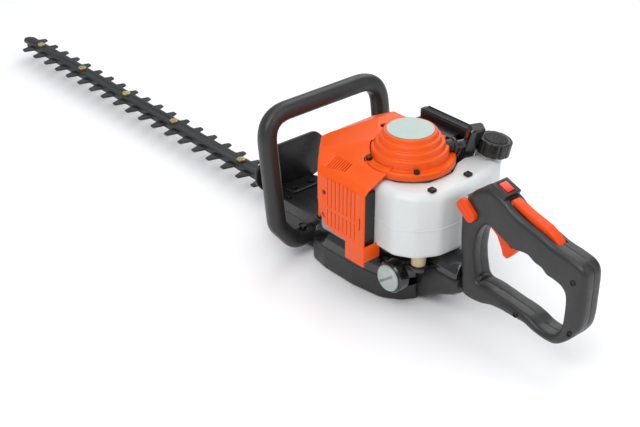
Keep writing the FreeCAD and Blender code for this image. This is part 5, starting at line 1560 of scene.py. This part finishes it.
@dataclass
class FrontHandle(Assembly):
    """The loop handle over the gear case and the upright guard ahead of it."""

    lean: float = 0.142
    knee: float = 52.0
    bar: float = 13.5
    thick: float = 11.6

    def build(self) -> None:
        """Makes the loop, its screws and the guard."""
        b, case = Box.of("front_handle"), Box.of("gear_case_upper")
        lean, knee, foot = self.lean, self.knee, b.z0 + self.bar
        half, high = b.y1 - self.bar, b.z1 - self.bar - 2
        front = b.x0 + self.bar + (high - knee) * lean

        left = [(-case.y1 - 0.1, foot), (-case.y1 - 30, foot), (-half, 54.0), (-half, high)]
        corners = [Vector((front - (z - knee) * lean + 0.1, y, z))
                   for y, z in left + [(-y, z) for y, z in reversed(left)]]
        radii = [20, 20, 36, 36, 20, 20]
        path = [corners[0]]
        for before, corner, after, radius in zip(corners, corners[1:], corners[2:], radii):
            way_in, way_out = (corner - before).normalized(), (after - corner).normalized()
            setback = radius * math.tan(way_in.angle(way_out) / 2)
            enter, leave = corner - way_in * setback, corner + way_out * setback
            path += [path[-1].lerp(enter, s / 5) for s in range(1, 5)]
            path += [enter * (1 - t) ** 2 + corner * (2 * t * (1 - t)) + leave * t ** 2
                     for t in (s / 12 for s in range(13))]
        path += [path[-1].lerp(corners[-1], s / 5) for s in range(1, 6)]

        def section(angle: float, share: float) -> Flat:
            """A squarish cross-section of the bar.

            Args:
                angle: the angle round the bar in radians.
                share: the share of the path, from 0 to 1.
            Returns:
                The point across the bar.
            """
            a, b = squarish(angle, 2.5)
            swell = self.thick + 0.5 * math.sin(math.pi * share) ** 2
            return a * swell * 0.96, b * swell * 0.98

        bar = tube("loop_bar", path, section, 40)
        for side in (-1, 1):
            spot = (front + (knee - foot) * lean, side * (case.y1 + 14), 0)
            boolean(bar, [bore("bolt_way", 3.2, foot - 20, foot + 20, spot, count=32)])
        self.add(bar, "chassis", "charcoal", ["front_handle"], 30)
        self.eased("case_screws", "black_screw", 0.5, 2)
        self.guard(case)

    def guard(self, case: Box) -> None:
        """The upright hand guard on its bolted foot.

        Args:
            case: the gear case's box.
        """
        g = Box.of("hand_guard")
        side = [(34, case.z1), (55, case.z1 + 6), (g.y1, case.z1 + 20), (g.y1, g.z1 - 28), (g.y1 - 28, g.z1)]
        radii = [3, 10, 12, 20, 20]
        outline = rounded([(-y, z) for y, z in side] + [(y, z) for y, z in reversed(side)],
                          radii + radii[::-1], 6)
        plate = soft_block("guard_plate", Plane.YZ, outline, fillets(g.x0, g.x0 + 4, 1.0, 1.0, 3))
        foot = soft_block("guard_foot", Plane.XY,
                          rounded(oblong((g.x0, g.x1), (-24, 24)), [0.5, 6, 6, 0.5], 5),
                          fillets(case.z1, case.z1 + 3, 0.2, 0.9, 2))
        holes = [bore("hole", 2.6, case.z1 - 1, case.z1 + 4, (g.x0 + 20, y, 0), count=24) for y in (-14, 14)]
        boolean(plate, [foot], "UNION")
        boolean(plate, holes)
        self.add(plate, "chassis", "black_plastic", ["hand_guard"], 30)


# ------------------------------------------------------------------ studio

@dataclass(frozen=True)
class Lamp:
    """An area light: where it stands, what it is aimed at, its size and power."""

    name: str
    spot: tuple[float, float, float]
    aim: tuple[float, float, float]
    size: float
    power: float


class Studio:
    """Floor, lights, world and camera."""

    LAMPS = (Lamp("key", (0.6, -1.5, 1.9), (-0.1, 0, 0.1), 1.6, 26.0),
             Lamp("fill", (1.9, 0.6, 1.2), (0, 0, 0.1), 1.6, 10.0),
             Lamp("back", (-0.9, 1.5, 1.6), (-0.2, 0, 0.1), 1.8, 15.0),
             Lamp("top", (-0.2, 0, 2.2), (-0.2, 0, 0), 2.2, 15.0))

    FLOOR = ((-6000, -6000, -0.4), (6000, -6000, -0.4), (6000, 6000, -0.4), (-6000, 6000, -0.4))
    LENS, SENSOR = 74.12, 36.0
    AZIMUTH, ELEVATION = math.radians(49.311), math.radians(30.031)
    EYE = (1.0007, -1.0031, 0.9128)

    def build(self) -> None:
        """Makes the floor, lights, world and camera."""
        self.floor()
        for lamp in self.LAMPS:
            data = bpy.data.lights.new(lamp.name, "AREA")
            data.shape, data.size, data.energy = "SQUARE", lamp.size, lamp.power
            thing = placed(lamp.name, data)
            thing.location = lamp.spot
            thing.rotation_mode = "QUATERNION"
            thing.rotation_quaternion = (Vector(lamp.aim) - Vector(lamp.spot)).to_track_quat("-Z", "Y")
        world = bpy.data.worlds.new("studio")
        bpy.context.scene.world = world
        world.use_nodes = True
        world.node_tree.nodes["Background"].inputs["Color"].default_value = (0.93, 0.95, 1.0, 1)
        world.node_tree.nodes["Background"].inputs["Strength"].default_value = 0.50
        bpy.context.scene.view_settings.view_transform = "Standard"
        bpy.context.scene.view_settings.look = "None"
        self.camera()

    def floor(self) -> None:
        """A pale floor just under the underside."""
        floor = mesh("floor", self.FLOOR, [(0, 1, 2, 3)])
        material = bpy.data.materials.new("floor")
        material.use_nodes = True
        shader = material.node_tree.nodes["Principled BSDF"]
        shader.inputs["Base Color"].default_value = (0.98, 0.98, 0.98, 1)
        shader.inputs["Roughness"].default_value = 0.7
        floor.data.materials.append(material)

    def camera(self) -> None:
        """The camera of the reference view."""
        data = bpy.data.cameras.new("camera")
        data.lens, data.sensor_width = self.LENS, self.SENSOR
        camera = placed("camera", data)
        azimuth, elevation = self.AZIMUTH, self.ELEVATION
        back = Vector((math.sin(azimuth) * math.cos(elevation), -math.cos(azimuth) * math.cos(elevation),
                       math.sin(elevation)))
        camera.location = self.EYE
        camera.rotation_mode = "QUATERNION"
        camera.rotation_quaternion = (-back).to_track_quat("-Z", "Y")
        bpy.context.scene.camera = camera


def main() -> None:
    """Builds every assembly and the studio."""
    for group in (Blade, GearCase, Engine, Cowl, Starter, FuelSystem, Intake, Base, RearHandle, FrontHandle):
        group().build()
    Studio().build()


if __name__ == "__main__":
    main()
